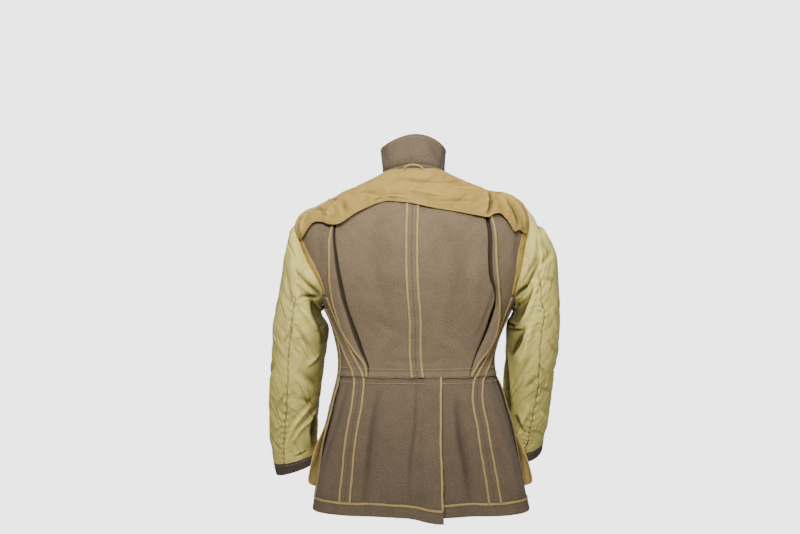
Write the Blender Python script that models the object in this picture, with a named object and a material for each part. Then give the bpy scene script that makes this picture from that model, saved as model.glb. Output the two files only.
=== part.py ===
"""Military service jacket worn inside out: wool panels, bound seams, loose shoulder lining, lined sleeves.

Metres, +Z up. The wearer faces +Y and +X is the wearer's right. The origin is the middle of the neck
opening at the height of the collar seam. Angles run round the body in degrees from the centre back:
negative to the wearer's left, positive to the right, 180 at the centre front. A level is the height
that a section has at the centre back.
"""

import math
from collections import namedtuple

import bmesh
import bpy
import numpy as np
from mathutils import Matrix

# Cloth and tape
WOOL = 0.0018
LINING = 0.0011
COLLAR_WOOL = 0.0030
TAPE_WIDTH = 0.0048
TAPE_THICK = 0.0016
ALLOWANCE = 0.0145
SEAM_GAP = 0.0003
LAYER_GAP = 0.0005
SAME_POINT = 1e-7

# Heights of the seams that cross the panels
NECK = 0.009
WAIST = -0.432
HEM = -0.727
HEM_TURN = 0.0265
ARM_JOINT = -0.262
ARM_BOTTOM = -0.285
SIDE_SEAMS = {-1: 79.0, 1: 92.0}
SHOULDER_SEAM = 90.0
CENTRE_FRONT = 180.0
FRONT_LAP = 5.5
SQUARENESS = 2.3

UPPER_LEVELS = (NECK, -0.012, -0.040, -0.092, -0.140, -0.170, -0.200, -0.225, -0.246, ARM_JOINT,
                ARM_BOTTOM, -0.315, -0.350, -0.385, -0.414, WAIST)
SKIRT_SHARES = (0.0, 0.06, 0.22, 0.40, 0.58, 0.76)

# Sections of the body: heights at the back, sides and front, then the section's own sizes
Ring = namedtuple("Ring", "level left right front centre half_width back_depth front_depth")
BODY = [
    Ring(0.009, -0.009, -0.003, -0.062, 0.002, 0.0717, 0.062, 0.068),
    Ring(-0.012, -0.030, -0.021, -0.078, 0.001, 0.115, 0.076, 0.080),
    Ring(-0.040, -0.046, -0.034, -0.100, 0.000, 0.160, 0.090, 0.095),
    Ring(-0.075, -0.067, -0.043, -0.125, 0.000, 0.205, 0.102, 0.108),
    Ring(-0.110, -0.088, -0.062, -0.150, 0.001, 0.240, 0.109, 0.117),
    Ring(-0.150, -0.118, -0.095, -0.180, 0.004, 0.256, 0.114, 0.123),
    Ring(-0.200, -0.185, -0.175, -0.215, 0.007, 0.248, 0.116, 0.127),
    Ring(-0.262, -0.262, -0.262, -0.262, 0.011, 0.220, 0.112, 0.126),
    Ring(-0.310, -0.310, -0.310, -0.310, 0.012, 0.197, 0.105, 0.122),
    Ring(-0.360, -0.360, -0.360, -0.360, 0.010, 0.178, 0.095, 0.117),
    Ring(-0.400, -0.400, -0.400, -0.400, 0.008, 0.170, 0.090, 0.113),
    Ring(-0.432, -0.432, -0.432, -0.432, 0.009, 0.172, 0.090, 0.112),
    Ring(-0.500, -0.500, -0.500, -0.500, 0.011, 0.190, 0.101, 0.117),
    Ring(-0.600, -0.600, -0.600, -0.600, 0.014, 0.213, 0.115, 0.127),
    Ring(-0.727, -0.727, -0.727, -0.727, 0.0177, 0.236, 0.122, 0.136),
    Ring(-0.747, -0.747, -0.747, -0.747, 0.0183, 0.2396, 0.123, 0.1374),
]

# Soft folds of the skirt: where they lie at the hem, how wide, how far out at the hem
Fold = namedtuple("Fold", "angle half_width height")
SKIRT_FOLDS = [
    Fold(-62.0, 11.0, 0.006),
    Fold(-25.0, 13.0, -0.013),
    Fold(27.0, 10.0, -0.016),
    Fold(55.0, 17.0, 0.016),
    Fold(-112.0, 16.0, -0.008),
    Fold(-142.0, 13.0, 0.008),
    Fold(118.0, 16.0, -0.008),
    Fold(148.0, 13.0, 0.008),
]

# Seam lines, as angles from the centre back on each side
Line = namedtuple("Line", "level left right")
CENTRE_SEAM = [
    Line(0.009, -1.5, -1.5),
    Line(-0.250, -1.7, -1.7),
    Line(-0.400, -0.5, -0.5),
    Line(-0.432, -0.2, -0.2),
]
PLEAT_FOLD = [
    Line(0.009, 60.0, 60.0),
    Line(-0.040, 47.0, 46.0),
    Line(-0.080, 42.0, 40.5),
    Line(-0.125, 40.0, 38.0),
    Line(-0.180, 40.0, 38.0),
    Line(-0.240, 42.0, 43.0),
    Line(-0.292, 41.5, 48.5),
    Line(-0.346, 40.5, 50.0),
    Line(-0.382, 39.0, 48.0),
    Line(-0.414, 37.0, 42.0),
    Line(-0.432, 35.5, 38.0),
]
PLEAT_BOUND = [
    Line(-0.110, 42.0, 41.0),
    Line(-0.198, 44.0, 41.5),
    Line(-0.231, 46.5, 44.5),
    Line(-0.293, 51.0, 52.5),
    Line(-0.327, 51.0, 53.5),
    Line(-0.373, 46.5, 52.0),
    Line(-0.407, 41.5, 46.0),
    Line(-0.432, 38.2, 40.7),
]
SIDE_BACK_SEAM = [
    Line(-0.262, 60.5, 66.0),
    Line(-0.310, 58.5, 68.0),
    Line(-0.350, 56.0, 66.5),
    Line(-0.385, 52.0, 63.0),
    Line(-0.414, 47.5, 55.0),
    Line(-0.432, 44.5, 48.5),
    Line(-0.470, 42.5, 43.5),
    Line(-0.550, 42.5, 40.0),
    Line(-0.727, 42.2, 40.0),
]
PLEAT_TURN = 0.0050
PLEAT_CLEAR = 0.0019
VENT_EDGE = [
    Line(-0.432, 17.5, 17.5),
    Line(-0.545, 15.5, 15.5),
    Line(-0.625, 13.5, 13.5),
    Line(-0.727, 11.0, 11.0),
]
VENT_UNDERLAP = 9.0
VENT_DROP = 0.010
VENT_SWING = 0.014

# How far the pleat stands off the back, and how deep it folds under
Pleat = namedtuple("Pleat", "level left right depth")
PLEAT = [
    Pleat(0.009, 0.0006, 0.0006, 0.012),
    Pleat(-0.120, 0.0010, 0.0012, 0.030),
    Pleat(-0.250, 0.0030, 0.0050, 0.038),
    Pleat(-0.330, 0.0030, 0.0095, 0.030),
    Pleat(-0.390, 0.0018, 0.0050, 0.011),
    Pleat(-0.420, 0.0008, 0.0010, 0.0042),
    Pleat(-0.432, 0.0006, 0.0006, 0.0035),
]

# The armhole from the shoulder point (share 0) down the back to the underarm (share 1)
Armhole = namedtuple("Armhole", "share level angle")
ARMHOLES = {
    -1: [
        Armhole(0.0, -0.140, 90.0),
        Armhole(0.2, -0.156, 81.0),
        Armhole(0.4, -0.186, 68.5),
        Armhole(0.6, -0.2255, 57.0),
        Armhole(0.8, -0.262, 60.5),
        Armhole(0.9, -0.279, 72.0),
        Armhole(1.0, -0.285, 90.0),
    ],
    1: [
        Armhole(0.0, -0.092, 90.0),
        Armhole(0.2, -0.116, 79.0),
        Armhole(0.4, -0.168, 66.5),
        Armhole(0.6, -0.217, 63.0),
        Armhole(0.8, -0.262, 66.0),
        Armhole(0.9, -0.279, 76.0),
        Armhole(1.0, -0.285, 90.0),
    ],
}

# Lower edge of the loose shoulder lining, round the body
YokeEdge = namedtuple("YokeEdge", "angle level")
YOKE_EDGE = [
    YokeEdge(-122.0, -0.030),
    YokeEdge(-106.0, -0.095),
    YokeEdge(-90.0, -0.137),
    YokeEdge(-77.0, -0.163),
    YokeEdge(-64.0, -0.168),
    YokeEdge(-55.5, -0.127),
    YokeEdge(-43.0, -0.125),
    YokeEdge(-35.0, -0.114),
    YokeEdge(-29.0, -0.086),
    YokeEdge(-20.0, -0.067),
    YokeEdge(-6.0, -0.065),
    YokeEdge(8.0, -0.075),
    YokeEdge(24.0, -0.092),
    YokeEdge(37.5, -0.116),
    YokeEdge(44.0, -0.114),
    YokeEdge(50.0, -0.148),
    YokeEdge(63.0, -0.164),
    YokeEdge(75.0, -0.116),
    YokeEdge(90.0, -0.090),
    YokeEdge(106.0, -0.068),
    YokeEdge(122.0, -0.024),
]
YOKE_OUT = 0.0050
YOKE_OVER_PLEAT = 0.0050

# Collar, turned up: sizes of its three edges
CollarEdge = namedtuple("CollarEdge", "share half_width back front left right level chin")
COLLAR = [
    CollarEdge(0.0, 0.0702, 0.0605, 0.0665, -0.0090, -0.0030, 0.0090, -0.0620),
    CollarEdge(1.0, 0.0700, 0.0590, 0.076, 0.0120, 0.0150, 0.0290, -0.0380),
    CollarEdge(2.0, 0.0722, 0.0570, 0.092, 0.0570, 0.0570, 0.0840, 0.0180),
]
COLLAR_RISE = 0.0011
COLLAR_OPENING = 7.0

# Sleeves: centre of each section, half sizes, and tilts in degrees
Cuff = namedtuple("Cuff", "x y z across fore roll pitch")
SLEEVES = {
    -1: [
        Cuff(-0.2440, 0.000, -0.2240, 0.0725, 0.066, 63.0, 0.0),
        Cuff(-0.2465, 0.000, -0.2780, 0.0540, 0.068, 31.0, 0.0),
        Cuff(-0.2460, 0.001, -0.3310, 0.0620, 0.066, 5.0, 3.0),
        Cuff(-0.2500, 0.004, -0.3850, 0.0590, 0.063, 0.0, 6.0),
        Cuff(-0.2580, 0.012, -0.4500, 0.0585, 0.059, 0.0, 9.0),
        Cuff(-0.2640, 0.028, -0.5200, 0.0555, 0.055, -3.0, 9.0),
        Cuff(-0.2655, 0.044, -0.5800, 0.0535, 0.052, -8.0, 8.0),
        Cuff(-0.2605, 0.056, -0.6270, 0.0530, 0.050, -15.0, 7.0),
        Cuff(-0.2575, 0.061, -0.6490, 0.0520, 0.049, -19.0, 7.0),
    ],
    1: [
        Cuff(0.2690, 0.000, -0.2195, 0.0790, 0.066, 61.0, 0.0),
        Cuff(0.2700, 0.000, -0.2790, 0.0595, 0.068, 29.0, 0.0),
        Cuff(0.2660, 0.002, -0.3250, 0.0590, 0.066, 5.0, 5.0),
        Cuff(0.2640, 0.010, -0.3850, 0.0570, 0.063, 0.0, 10.0),
        Cuff(0.2590, 0.030, -0.4450, 0.0560, 0.059, 0.0, 16.0),
        Cuff(0.2580, 0.060, -0.5150, 0.0530, 0.055, 2.0, 22.0),
        Cuff(0.2570, 0.088, -0.5680, 0.0500, 0.052, 5.0, 24.0),
        Cuff(0.2540, 0.106, -0.6040, 0.0480, 0.049, 9.0, 24.0),
        Cuff(0.2530, 0.113, -0.6250, 0.0470, 0.048, 10.0, 24.0),
    ],
}
ELBOW_SEAM = -92.0
INNER_SEAM = 118.0
CUFF_START = 8
CUFF_END = 9
CUFF_WOOL = 0.0026
ARMHOLE_EASE = 0.0026

# Pocket bags, hanging on the fronts inside
BAG_ANGLES = (101.0, 112.0, 126.0, 140.0)
BAG_LEVELS = (-0.520, -0.580, -0.640, -0.690)
BAG_THICK = 0.0045
BAG_SWING = 0.013

# Hanger loop at the centre back, and the buttons inside the front
LOOP_HALF_WIDTH = 0.021
LOOP_RISE = 0.0125
LOOP_RADIUS = 0.0019
LOOP_POINTS = 11
BUTTON_LEVELS = (-0.138, -0.205, -0.272, -0.339, -0.406)
BUTTON_RADIUS = 0.0105
BUTTON_HEIGHT = 0.0055
BUTTON_GAP = 0.0007

COLOURS = {
    "wool": (0.215, 0.170, 0.115, 1.0),
    "collar_wool": (0.215, 0.170, 0.120, 1.0),
    "shoulder_cotton": (0.465, 0.345, 0.145, 1.0),
    "sleeve_sateen": (0.470, 0.410, 0.190, 1.0),
    "binding": (0.420, 0.310, 0.130, 1.0),
    "pocket_cotton": (0.400, 0.250, 0.080, 1.0),
    "button_horn": (0.050, 0.035, 0.022, 1.0),
}


def clear_scene():
    for thing in list(bpy.data.objects):
        bpy.data.objects.remove(thing)


def material(name, cloth):
    made = bpy.data.materials.new(f"{name}_{cloth}")
    made.use_nodes = True
    shader = made.node_tree.nodes["Principled BSDF"]
    shader.inputs["Base Color"].default_value = COLOURS[cloth]
    shader.inputs["Roughness"].default_value = 0.35 if cloth == "button_horn" else 0.9
    shader.inputs["Metallic"].default_value = 0.0
    return made


# Reading the tables

def smooth(rows, name, at):
    """One column of a table on a smooth curve through its rows, which the first column orders."""
    rows = sorted(rows)
    keys = np.array([row[0] for row in rows], float)
    values = np.array([getattr(row, name) for row in rows], float)
    slopes = np.gradient(values, keys)
    at = np.clip(at, keys[0], keys[-1])
    spot = np.clip(np.searchsorted(keys, at) - 1, 0, len(keys) - 2)
    span = keys[spot + 1] - keys[spot]
    t = (at - keys[spot]) / span
    start = values[spot] * (1 + 2 * t) + slopes[spot] * span * t
    end = values[spot + 1] * (3 - 2 * t) - slopes[spot + 1] * span * (1 - t)
    return start * (1 - t) ** 2 + end * t ** 2


def ease(t):
    t = np.clip(t, 0.0, 1.0)
    return t * t * (3 - 2 * t)


def side_name(side):
    return "left" if side < 0 else "right"


# The body's form

def skirt_fold(angle, level):
    """How far the skirt's soft folds lift the cloth off the plain section."""
    turned = (angle + 180.0) % 360.0 - 180.0
    drop = ease((WAIST - level) / (WAIST - HEM))
    lift = 0.0
    for fold in SKIRT_FOLDS:
        lift = lift + fold.height * np.exp(-((turned - fold.angle) / fold.half_width) ** 2)
    return lift * drop


def plain_point(angle, level):
    turn = np.radians(angle)
    across, along = np.sin(turn), np.cos(turn)
    reach = (np.abs(across) ** SQUARENESS + np.abs(along) ** SQUARENESS) ** (-1 / SQUARENESS)
    depth = np.where(along > 0, smooth(BODY, "back_depth", level), smooth(BODY, "front_depth", level))
    side = np.where(across < 0, smooth(BODY, "left", level), smooth(BODY, "right", level))
    end = np.where(along > 0, level, smooth(BODY, "front", level))
    x = smooth(BODY, "centre", level) + smooth(BODY, "half_width", level) * reach * across
    return np.stack([x, -depth * reach * along, side * across ** 2 + end * along ** 2], axis=-1)


def body_point(angle, level, out):
    """A point on the body's form, moved out along the form's normal."""
    angle, level, out = np.broadcast_arrays(np.asarray(angle, float), np.asarray(level, float), out)
    turn_step, level_step = 0.05, 0.0004
    across = plain_point(angle + turn_step, level) - plain_point(angle - turn_step, level)
    top = np.minimum(level + level_step, NECK)
    up = plain_point(angle, top) - plain_point(angle, top - 2 * level_step)
    normal = np.cross(across, up)
    normal /= np.linalg.norm(normal, axis=-1, keepdims=True)
    return plain_point(angle, level) + normal * (out + skirt_fold(angle, level))[..., None]


def degrees_for(length, angle, level):
    """The angle that spans a length of cloth round the body at one place."""
    step = 0.1
    gap = plain_point(angle + step, level) - plain_point(angle - step, level)
    return 2 * step * length / np.linalg.norm(gap, axis=-1)


# Lines on the body

def line(rows, side):
    """A seam line as a function of level, with its side's sign."""
    def angle(level):
        return side * smooth(rows, side_name(side), level)
    return angle


def centre_seam(level):
    return smooth(CENTRE_SEAM, "left", level)


def aside(seam, length):
    """The line that runs beside a seam, a length of cloth away."""
    def angle(level):
        return seam(level) + degrees_for(length, seam(level), level)
    return angle


def between(first, second, share):
    def angle(level):
        return first(level) + share * (second(level) - first(level))
    return angle


def moved(seam, turn):
    def angle(level):
        return seam(level) + turn
    return angle


def fixed(turn):
    def angle(level):
        return np.full(np.shape(level), turn)
    return angle


def armhole_curve(side, share):
    """Level and angle on the back half of the armhole."""
    rows = ARMHOLES[side]
    return smooth(rows, "level", share), smooth(rows, "angle", share)


def armhole_angle(side, level):
    """Angle of the back armhole edge at a level between the shoulder point and the underarm."""
    shares = np.linspace(0.0, 1.0, 201)
    levels, angles = armhole_curve(side, shares)
    return np.interp(-np.asarray(level), -levels, angles)


def back_outer_edge(side):
    """Outer edge of the side back: shoulder seam, then armhole, then side back seam."""
    seam = line(SIDE_BACK_SEAM, side)
    top = ARMHOLES[side][0].level

    def angle(level):
        level = np.asarray(level, float)
        upper = np.where(level > top, SHOULDER_SEAM, armhole_angle(side, level))
        return np.where(level > ARM_JOINT, side * upper, seam(level))
    return angle


def front_outer_edge(side):
    """Outer edge of a front: shoulder seam, then armhole, then side seam."""
    top = ARMHOLES[side][0].level

    def angle(level):
        level = np.asarray(level, float)
        upper = np.where(level > top, SHOULDER_SEAM, 2 * SHOULDER_SEAM - armhole_angle(side, level))
        upper = np.where(level <= ARM_BOTTOM + SAME_POINT, SIDE_SEAMS[side], upper)
        return side * upper
    return angle


def pleat_lines(side):
    """Inner fold, outer fold and the line past which the side back comes down to the body."""
    fold = line(PLEAT_FOLD, side)
    edge = back_outer_edge(side)

    def outer(level):
        room = np.abs(edge(level) - fold(level))
        depth = degrees_for(smooth(PLEAT, "depth", level), fold(level), level)
        return fold(level) + side * np.minimum(depth, 0.30 * room)

    return fold, outer, aside(outer, side * PLEAT_TURN)


# Making walls

def wall(name, outer, inner, cloth, closed=False):
    """A closed wall between two grids of points, as one object."""
    rows, columns = outer.shape[:2]
    mesh = bmesh.new()
    bmesh.ops.create_grid(mesh, x_segments=columns - 1, y_segments=rows - 1, size=1.0)
    place = mesh.verts.layers.int.new("place")
    for number, vert in enumerate(mesh.verts):
        vert[place] = number
        vert.co = outer[number // columns, number % columns]
    if closed:
        bmesh.ops.remove_doubles(mesh, verts=mesh.verts, dist=SAME_POINT)
    made = bmesh.ops.extrude_face_region(mesh, geom=mesh.faces[:], use_keep_orig=True)
    for vert in made["geom"]:
        if isinstance(vert, bmesh.types.BMVert):
            vert.co = inner[vert[place] // columns, vert[place] % columns]
    return finish(name, mesh, cloth)


def finish(name, mesh, cloth):
    bmesh.ops.triangulate(mesh, faces=mesh.faces)
    bmesh.ops.recalc_face_normals(mesh, faces=mesh.faces)
    data = bpy.data.meshes.new(name)
    mesh.to_mesh(data)
    mesh.free()
    data.materials.append(material(name, cloth))
    data.shade_smooth()
    data.set_sharp_from_angle(angle=math.radians(40))
    thing = bpy.data.objects.new(name, data)
    bpy.context.scene.collection.objects.link(thing)
    return thing


def grid(lines, levels):
    """Angles and levels of a panel: a column for each line, a row for each level."""
    levels = np.asarray(levels, float)
    if levels.ndim == 1:
        levels = np.repeat(levels[:, None], len(lines), axis=1)
    angles = np.stack([lines[column](levels[:, column]) for column in range(len(lines))], axis=1)
    return angles, levels


def panel(name, lines, levels, out=0.0, thick=WOOL, cloth="wool"):
    """A piece of cloth on the body: its face is at out and its wall lies inside that."""
    angles, levels = grid(lines, levels)
    return wall(name, body_point(angles, levels, out), body_point(angles, levels, out - thick), cloth)


def tape(name, lines, levels, base, thick=TAPE_THICK, cloth="binding"):
    """A strip that lies on a panel, made from the panel's own lines and levels, moved out."""
    angles, levels = grid(lines, levels)
    outs = np.broadcast_to(np.asarray(base) + SEAM_GAP, angles.shape)
    return wall(name, body_point(angles, levels, outs + thick), body_point(angles, levels, outs), cloth)


def upper_levels(start=NECK, end=WAIST):
    levels = np.array([level for level in UPPER_LEVELS if end - SAME_POINT <= level <= start + SAME_POINT])
    levels[levels == WAIST] += SEAM_GAP / 2
    return levels


def skirt_levels():
    """Rows of the skirt from the waist seam to the hem, with a row at each edge of the hem tape."""
    top = WAIST - SEAM_GAP / 2
    rows = [top + share * (HEM - top) for share in SKIRT_SHARES]
    return np.array(rows + [HEM + HEM_TURN, HEM + HEM_TURN - TAPE_WIDTH, HEM])


def hem_layers(rows):
    """Extra cloth in each row of a panel: the hem is turned up, so its last rows are two layers thick."""
    extra = np.zeros((rows, 1))
    extra[-2:] = WOOL
    return extra


def hem_rows(lines, levels, outs):
    """Places of the two rows that carry the hem tape on one panel."""
    angles, levels = grid(lines, levels)
    outs = np.broadcast_to(outs, angles.shape)
    return angles[-3:-1], levels[-3:-1], outs[-3:-1]


# The upper body

def back_panel(side):
    """Centre back half with its pleat: out to the outer fold, then back under the side back."""
    fold, outer, _ = pleat_lines(side)
    near_seam = [aside(centre_seam, side * length) for length in
                 (SEAM_GAP / 2, ALLOWANCE - TAPE_WIDTH, ALLOWANCE)]
    middle = [between(near_seam[-1], fold, share) for share in (0.4, 0.75)]
    face = near_seam + middle + [between(fold, outer, -0.15), outer]
    levels = upper_levels()
    lift = smooth(PLEAT, side_name(side), levels)
    turn = aside(outer, side * WOOL)
    wide_turn = aside(outer, side * 2.2 * WOOL)
    underlay = [outer, between(fold, outer, 0.15)]
    face_angles, rows = grid(face + [turn] + underlay, np.asarray(levels))
    back_angles, _ = grid(face + [wide_turn] + underlay, np.asarray(levels))
    flat_columns = len(face)
    face_out = np.zeros(face_angles.shape)
    back_out = np.full(face_angles.shape, -WOOL)
    face_out[:, flat_columns] = back_out[:, flat_columns] = lift / 2
    face_out[:, flat_columns + 1:] = lift[:, None]
    back_out[:, flat_columns + 1:] = lift[:, None] + WOOL
    wall(f"back_{side_name(side)}", body_point(face_angles, rows, face_out),
         body_point(back_angles, rows, back_out), "wool")
    tape(f"centre_binding_{side_name(side)}", near_seam[1:3], levels, 0.0)


def side_back_panel(side):
    """Side back from the pleat's inner fold to the armhole and side back seam, with its bindings."""
    fold, _, clear = pleat_lines(side)
    edge = back_outer_edge(side)
    inset = aside(edge, -side * SEAM_GAP / 2)
    bound_in = aside(edge, -side * ALLOWANCE)
    bound_out = aside(edge, -side * (ALLOWANCE - TAPE_WIDTH))
    table = line(PLEAT_BOUND, side)

    def bound(level):
        width = np.minimum(np.abs(table(level) - fold(level)), 0.85 * np.abs(clear(level) - fold(level)))
        return fold(level) + side * width
    lines = [fold, bound, clear, between(clear, bound_in, 0.5), bound_in, bound_out, inset]
    levels = upper_levels()
    lift = smooth(PLEAT, side_name(side), levels) + 2 * WOOL + PLEAT_CLEAR
    outs = lift[:, None] * np.array([1.0, 1.0, 1.0, 0.8, 0.55, 0.35, 0.0])[None, :]
    panel(f"side_back_{side_name(side)}", lines, levels, outs)

    below = levels < ARM_JOINT - SAME_POINT
    tape(f"side_back_binding_{side_name(side)}_inner", lines[4:6], levels[below], outs[below][:, 4:6])
    beside = (levels <= -0.165) & (levels >= ARM_JOINT - SAME_POINT)
    tape(f"armhole_strip_{side_name(side)}", lines[4:7], levels[beside], outs[beside][:, 4:7],
         LINING, "shoulder_cotton")
    pleated = levels <= -0.110
    tape(f"pleat_binding_{side_name(side)}", lines[0:2], levels[pleated], outs[pleated][:, 0:2])


def side_panel(side):
    """Underarm panel between the side back seam and the side seam, with its bindings."""
    seam, side_seam = line(SIDE_BACK_SEAM, side), fixed(side * SIDE_SEAMS[side])
    lines = [aside(seam, side * length) for length in (SEAM_GAP / 2, ALLOWANCE - TAPE_WIDTH, ALLOWANCE)]
    far = [aside(side_seam, -side * length) for length in (ALLOWANCE, ALLOWANCE - TAPE_WIDTH, SEAM_GAP / 2)]
    lines += [between(lines[2], far[0], 0.5)] + far
    levels = np.repeat(upper_levels(ARM_JOINT)[:, None], len(lines), axis=1)
    shares = np.linspace(0.8, 1.0, 81)
    hole_levels, hole_angles = armhole_curve(side, shares)
    for column, edge in enumerate(lines):
        angle = abs(float(edge(np.array(ARM_BOTTOM))))
        levels[0, column] = np.interp(angle, hole_angles, hole_levels)
    levels[1] = np.minimum(levels[0] - 0.004, levels[1] - 0.004)
    panel(f"side_{side_name(side)}", lines, levels)
    rows = levels[1:, 0]
    tape(f"side_back_binding_{side_name(side)}_outer", lines[1:3], rows, 0.0)
    tape(f"side_binding_{side_name(side)}_back", far[0:2], rows, 0.0)


def front_panel(side):
    """A front from the shoulder to the hem. The left one laps over the right one."""
    edge = front_outer_edge(side)
    centre = fixed(side * (CENTRE_FRONT + FRONT_LAP))
    lap = fixed(side * (CENTRE_FRONT - FRONT_LAP - 4.0))
    lines = [aside(edge, side * length) for length in (SEAM_GAP / 2, ALLOWANCE - TAPE_WIDTH, ALLOWANCE)]
    lines += [between(lines[2], lap, share) for share in (0.28, 0.52, 0.76)]
    lines += [lap, between(lap, centre, 0.25), centre]
    lap_lift = 2 * WOOL + 2 * LAYER_GAP if side < 0 else 0.0
    over = lap_lift * np.array([0.0] * (len(lines) - 2) + [1.0, 1.0])
    upper = upper_levels()
    skirt = skirt_levels()
    levels = np.concatenate([upper[:-1], skirt])
    extra = hem_layers(len(levels))
    panel(f"front_{side_name(side)}", lines, levels, over + extra, WOOL + extra)
    below = upper[upper < ARM_BOTTOM - SAME_POINT]
    tape(f"side_binding_{side_name(side)}_front", lines[1:3], np.concatenate([below[:-1], skirt[:-3]]), 0.0)
    kept = lines if side < 0 else lines[:-2]
    return hem_rows(kept, skirt, over[:len(kept)])


# The skirt

def skirt_back_panel(side):
    """Half of the back skirt. The left half carries the bound vent edge and laps over the right half."""
    vent, seam = line(VENT_EDGE, 1), line(SIDE_BACK_SEAM, side)
    underlap = moved(vent, -VENT_UNDERLAP)
    bound = [aside(seam, -side * length) for length in (ALLOWANCE, ALLOWANCE - TAPE_WIDTH, SEAM_GAP / 2)]
    if side < 0:
        lines = [vent, aside(vent, -TAPE_WIDTH), underlap, moved(underlap, -6.0)]
        lap = np.array([1.0, 1.0, 1.0, 0.0])
        hang = np.array([1.0, 0.9, 0.55, 0.3])
    else:
        lines = [underlap, between(underlap, vent, 0.5), vent, aside(vent, 0.02)]
        lap = hang = np.zeros(4)
    lines += [between(lines[-1], bound[0], share) for share in (0.33, 0.66)] + bound
    rest = np.zeros(len(lines) - len(lap))
    lap, hang = np.concatenate([lap, rest]), np.concatenate([hang, rest])
    rows = skirt_levels()
    drop = ease((WAIST - rows) / (WAIST - HEM))[:, None] ** 2
    levels = rows[:, None] - VENT_DROP * drop * hang
    outs = lap * (2 * WOOL + 2 * LAYER_GAP) + VENT_SWING * drop * hang
    extra = hem_layers(len(rows))
    panel(f"skirt_back_{side_name(side)}", lines, levels, outs + extra, WOOL + extra)
    tape(f"side_back_skirt_binding_{side_name(side)}_inner", bound[0:2], rows[:-3], 0.0)
    if side < 0:
        tape("vent_binding", lines[1::-1], levels[:-3, 1::-1], outs[:-3, 1::-1])
        return hem_rows(lines, levels, outs)
    return hem_rows(lines[3:], levels[:, 3:], outs[:, 3:])


def skirt_side_panel(side):
    """Skirt panel between the side back seam and the side seam."""
    seam, side_seam = line(SIDE_BACK_SEAM, side), fixed(side * SIDE_SEAMS[side])
    lines = [aside(seam, side * length) for length in (SEAM_GAP / 2, ALLOWANCE - TAPE_WIDTH, ALLOWANCE)]
    far = [aside(side_seam, -side * length) for length in (ALLOWANCE, ALLOWANCE - TAPE_WIDTH, SEAM_GAP / 2)]
    lines += [between(lines[2], far[0], 0.5)] + far
    levels = skirt_levels()
    extra = hem_layers(len(levels))
    panel(f"skirt_side_{side_name(side)}", lines, levels, extra, WOOL + extra)
    tape(f"side_back_skirt_binding_{side_name(side)}_outer", lines[1:3], levels[:-3], 0.0)
    tape(f"side_skirt_binding_{side_name(side)}", far[0:2], levels[:-3], 0.0)
    return hem_rows(lines, levels, 0.0)


def hem_binding(side, panels):
    """Tape along the top of the turned-up hem, from the vent round to the front edge."""
    angles, levels, outs = (np.concatenate(rows, axis=1) for rows in zip(*panels))
    outs = outs + WOOL + SEAM_GAP
    wall(f"hem_binding_{side_name(side)}", body_point(angles, levels, outs + TAPE_THICK),
         body_point(angles, levels, outs), "binding")


# Shoulder lining, collar and loop

def yoke_panel():
    """Loose lining across the shoulders: sewn at the neck, open along its lower edge."""
    angles = np.array([edge.angle for edge in YOKE_EDGE])
    shares = np.array([0.0, 0.15, 0.35, 0.6, 0.85, 1.0])[:, None]
    levels = NECK + shares * (np.array([edge.level for edge in YOKE_EDGE]) - NECK)
    angles = np.broadcast_to(angles, levels.shape)
    outs = YOKE_OUT + YOKE_OVER_PLEAT * np.exp(-((np.abs(angles) - 58.0) / 36.0) ** 4)
    wall("yoke_lining", body_point(angles, levels, outs), body_point(angles, levels, outs - LINING),
         "shoulder_cotton")


def collar_point(angle, share, out):
    turn = np.radians(angle)
    across, along = np.sin(turn), np.cos(turn)
    reach = (np.abs(across) ** SQUARENESS + np.abs(along) ** SQUARENESS) ** (-1 / SQUARENESS)
    depth = np.where(along > 0, smooth(COLLAR, "back", share), smooth(COLLAR, "front", share)) + out
    side = np.where(across < 0, smooth(COLLAR, "left", share), smooth(COLLAR, "right", share))
    end = np.where(along > 0, smooth(COLLAR, "level", share), smooth(COLLAR, "chin", share))
    x = BODY[0].centre + (smooth(COLLAR, "half_width", share) + out) * reach * across
    height = side * across ** 2 + end * along ** 2 + COLLAR_RISE
    return np.stack([x, -depth * reach * along, height], axis=-1)


def collar_piece(name, start, end):
    limit = CENTRE_FRONT - COLLAR_OPENING
    angles = np.repeat(np.linspace(-limit, limit, 25)[None, :], 3, axis=0)
    shares = np.repeat(np.linspace(start, end, 3)[:, None], 25, axis=1)
    wall(name, collar_point(angles, shares, 0.0), collar_point(angles, shares, -COLLAR_WOOL), "collar_wool")


def hanger_loop():
    """Short cord loop that stands up behind the collar, its ends held on the lining."""
    curve = bpy.data.curves.new("hanger_loop", "CURVE")
    curve.dimensions = "3D"
    curve.bevel_depth = LOOP_RADIUS
    curve.bevel_resolution = 2
    curve.use_fill_caps = True
    spline = curve.splines.new("POLY")
    spline.points.add(LOOP_POINTS - 1)
    turns = np.linspace(0.0, math.pi, LOOP_POINTS)
    back = BODY[0].back_depth + YOKE_OUT + LOOP_RADIUS + 8 * SEAM_GAP
    for point, turn in zip(spline.points, turns):
        sideways = -LOOP_HALF_WIDTH * math.cos(turn)
        point.co = (sideways, -back + 0.002 * math.sin(turn), 0.006 + LOOP_RISE * math.sin(turn), 1.0)
    curve.materials.append(material("hanger_loop", "binding"))
    thing = bpy.data.objects.new("hanger_loop", curve)
    bpy.context.scene.collection.objects.link(thing)


# Sleeves and cuffs

def armhole_ring(side, rounds, inset):
    """Points of the armhole in order round the sleeve, taken into the hole by a small inset."""
    points = armhole_points(side, rounds)
    middle = armhole_points(side, np.arange(0.0, 360.0, 15.0)).mean(axis=0)
    toward = middle - points
    return points + toward / np.linalg.norm(toward, axis=-1, keepdims=True) * inset


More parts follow.
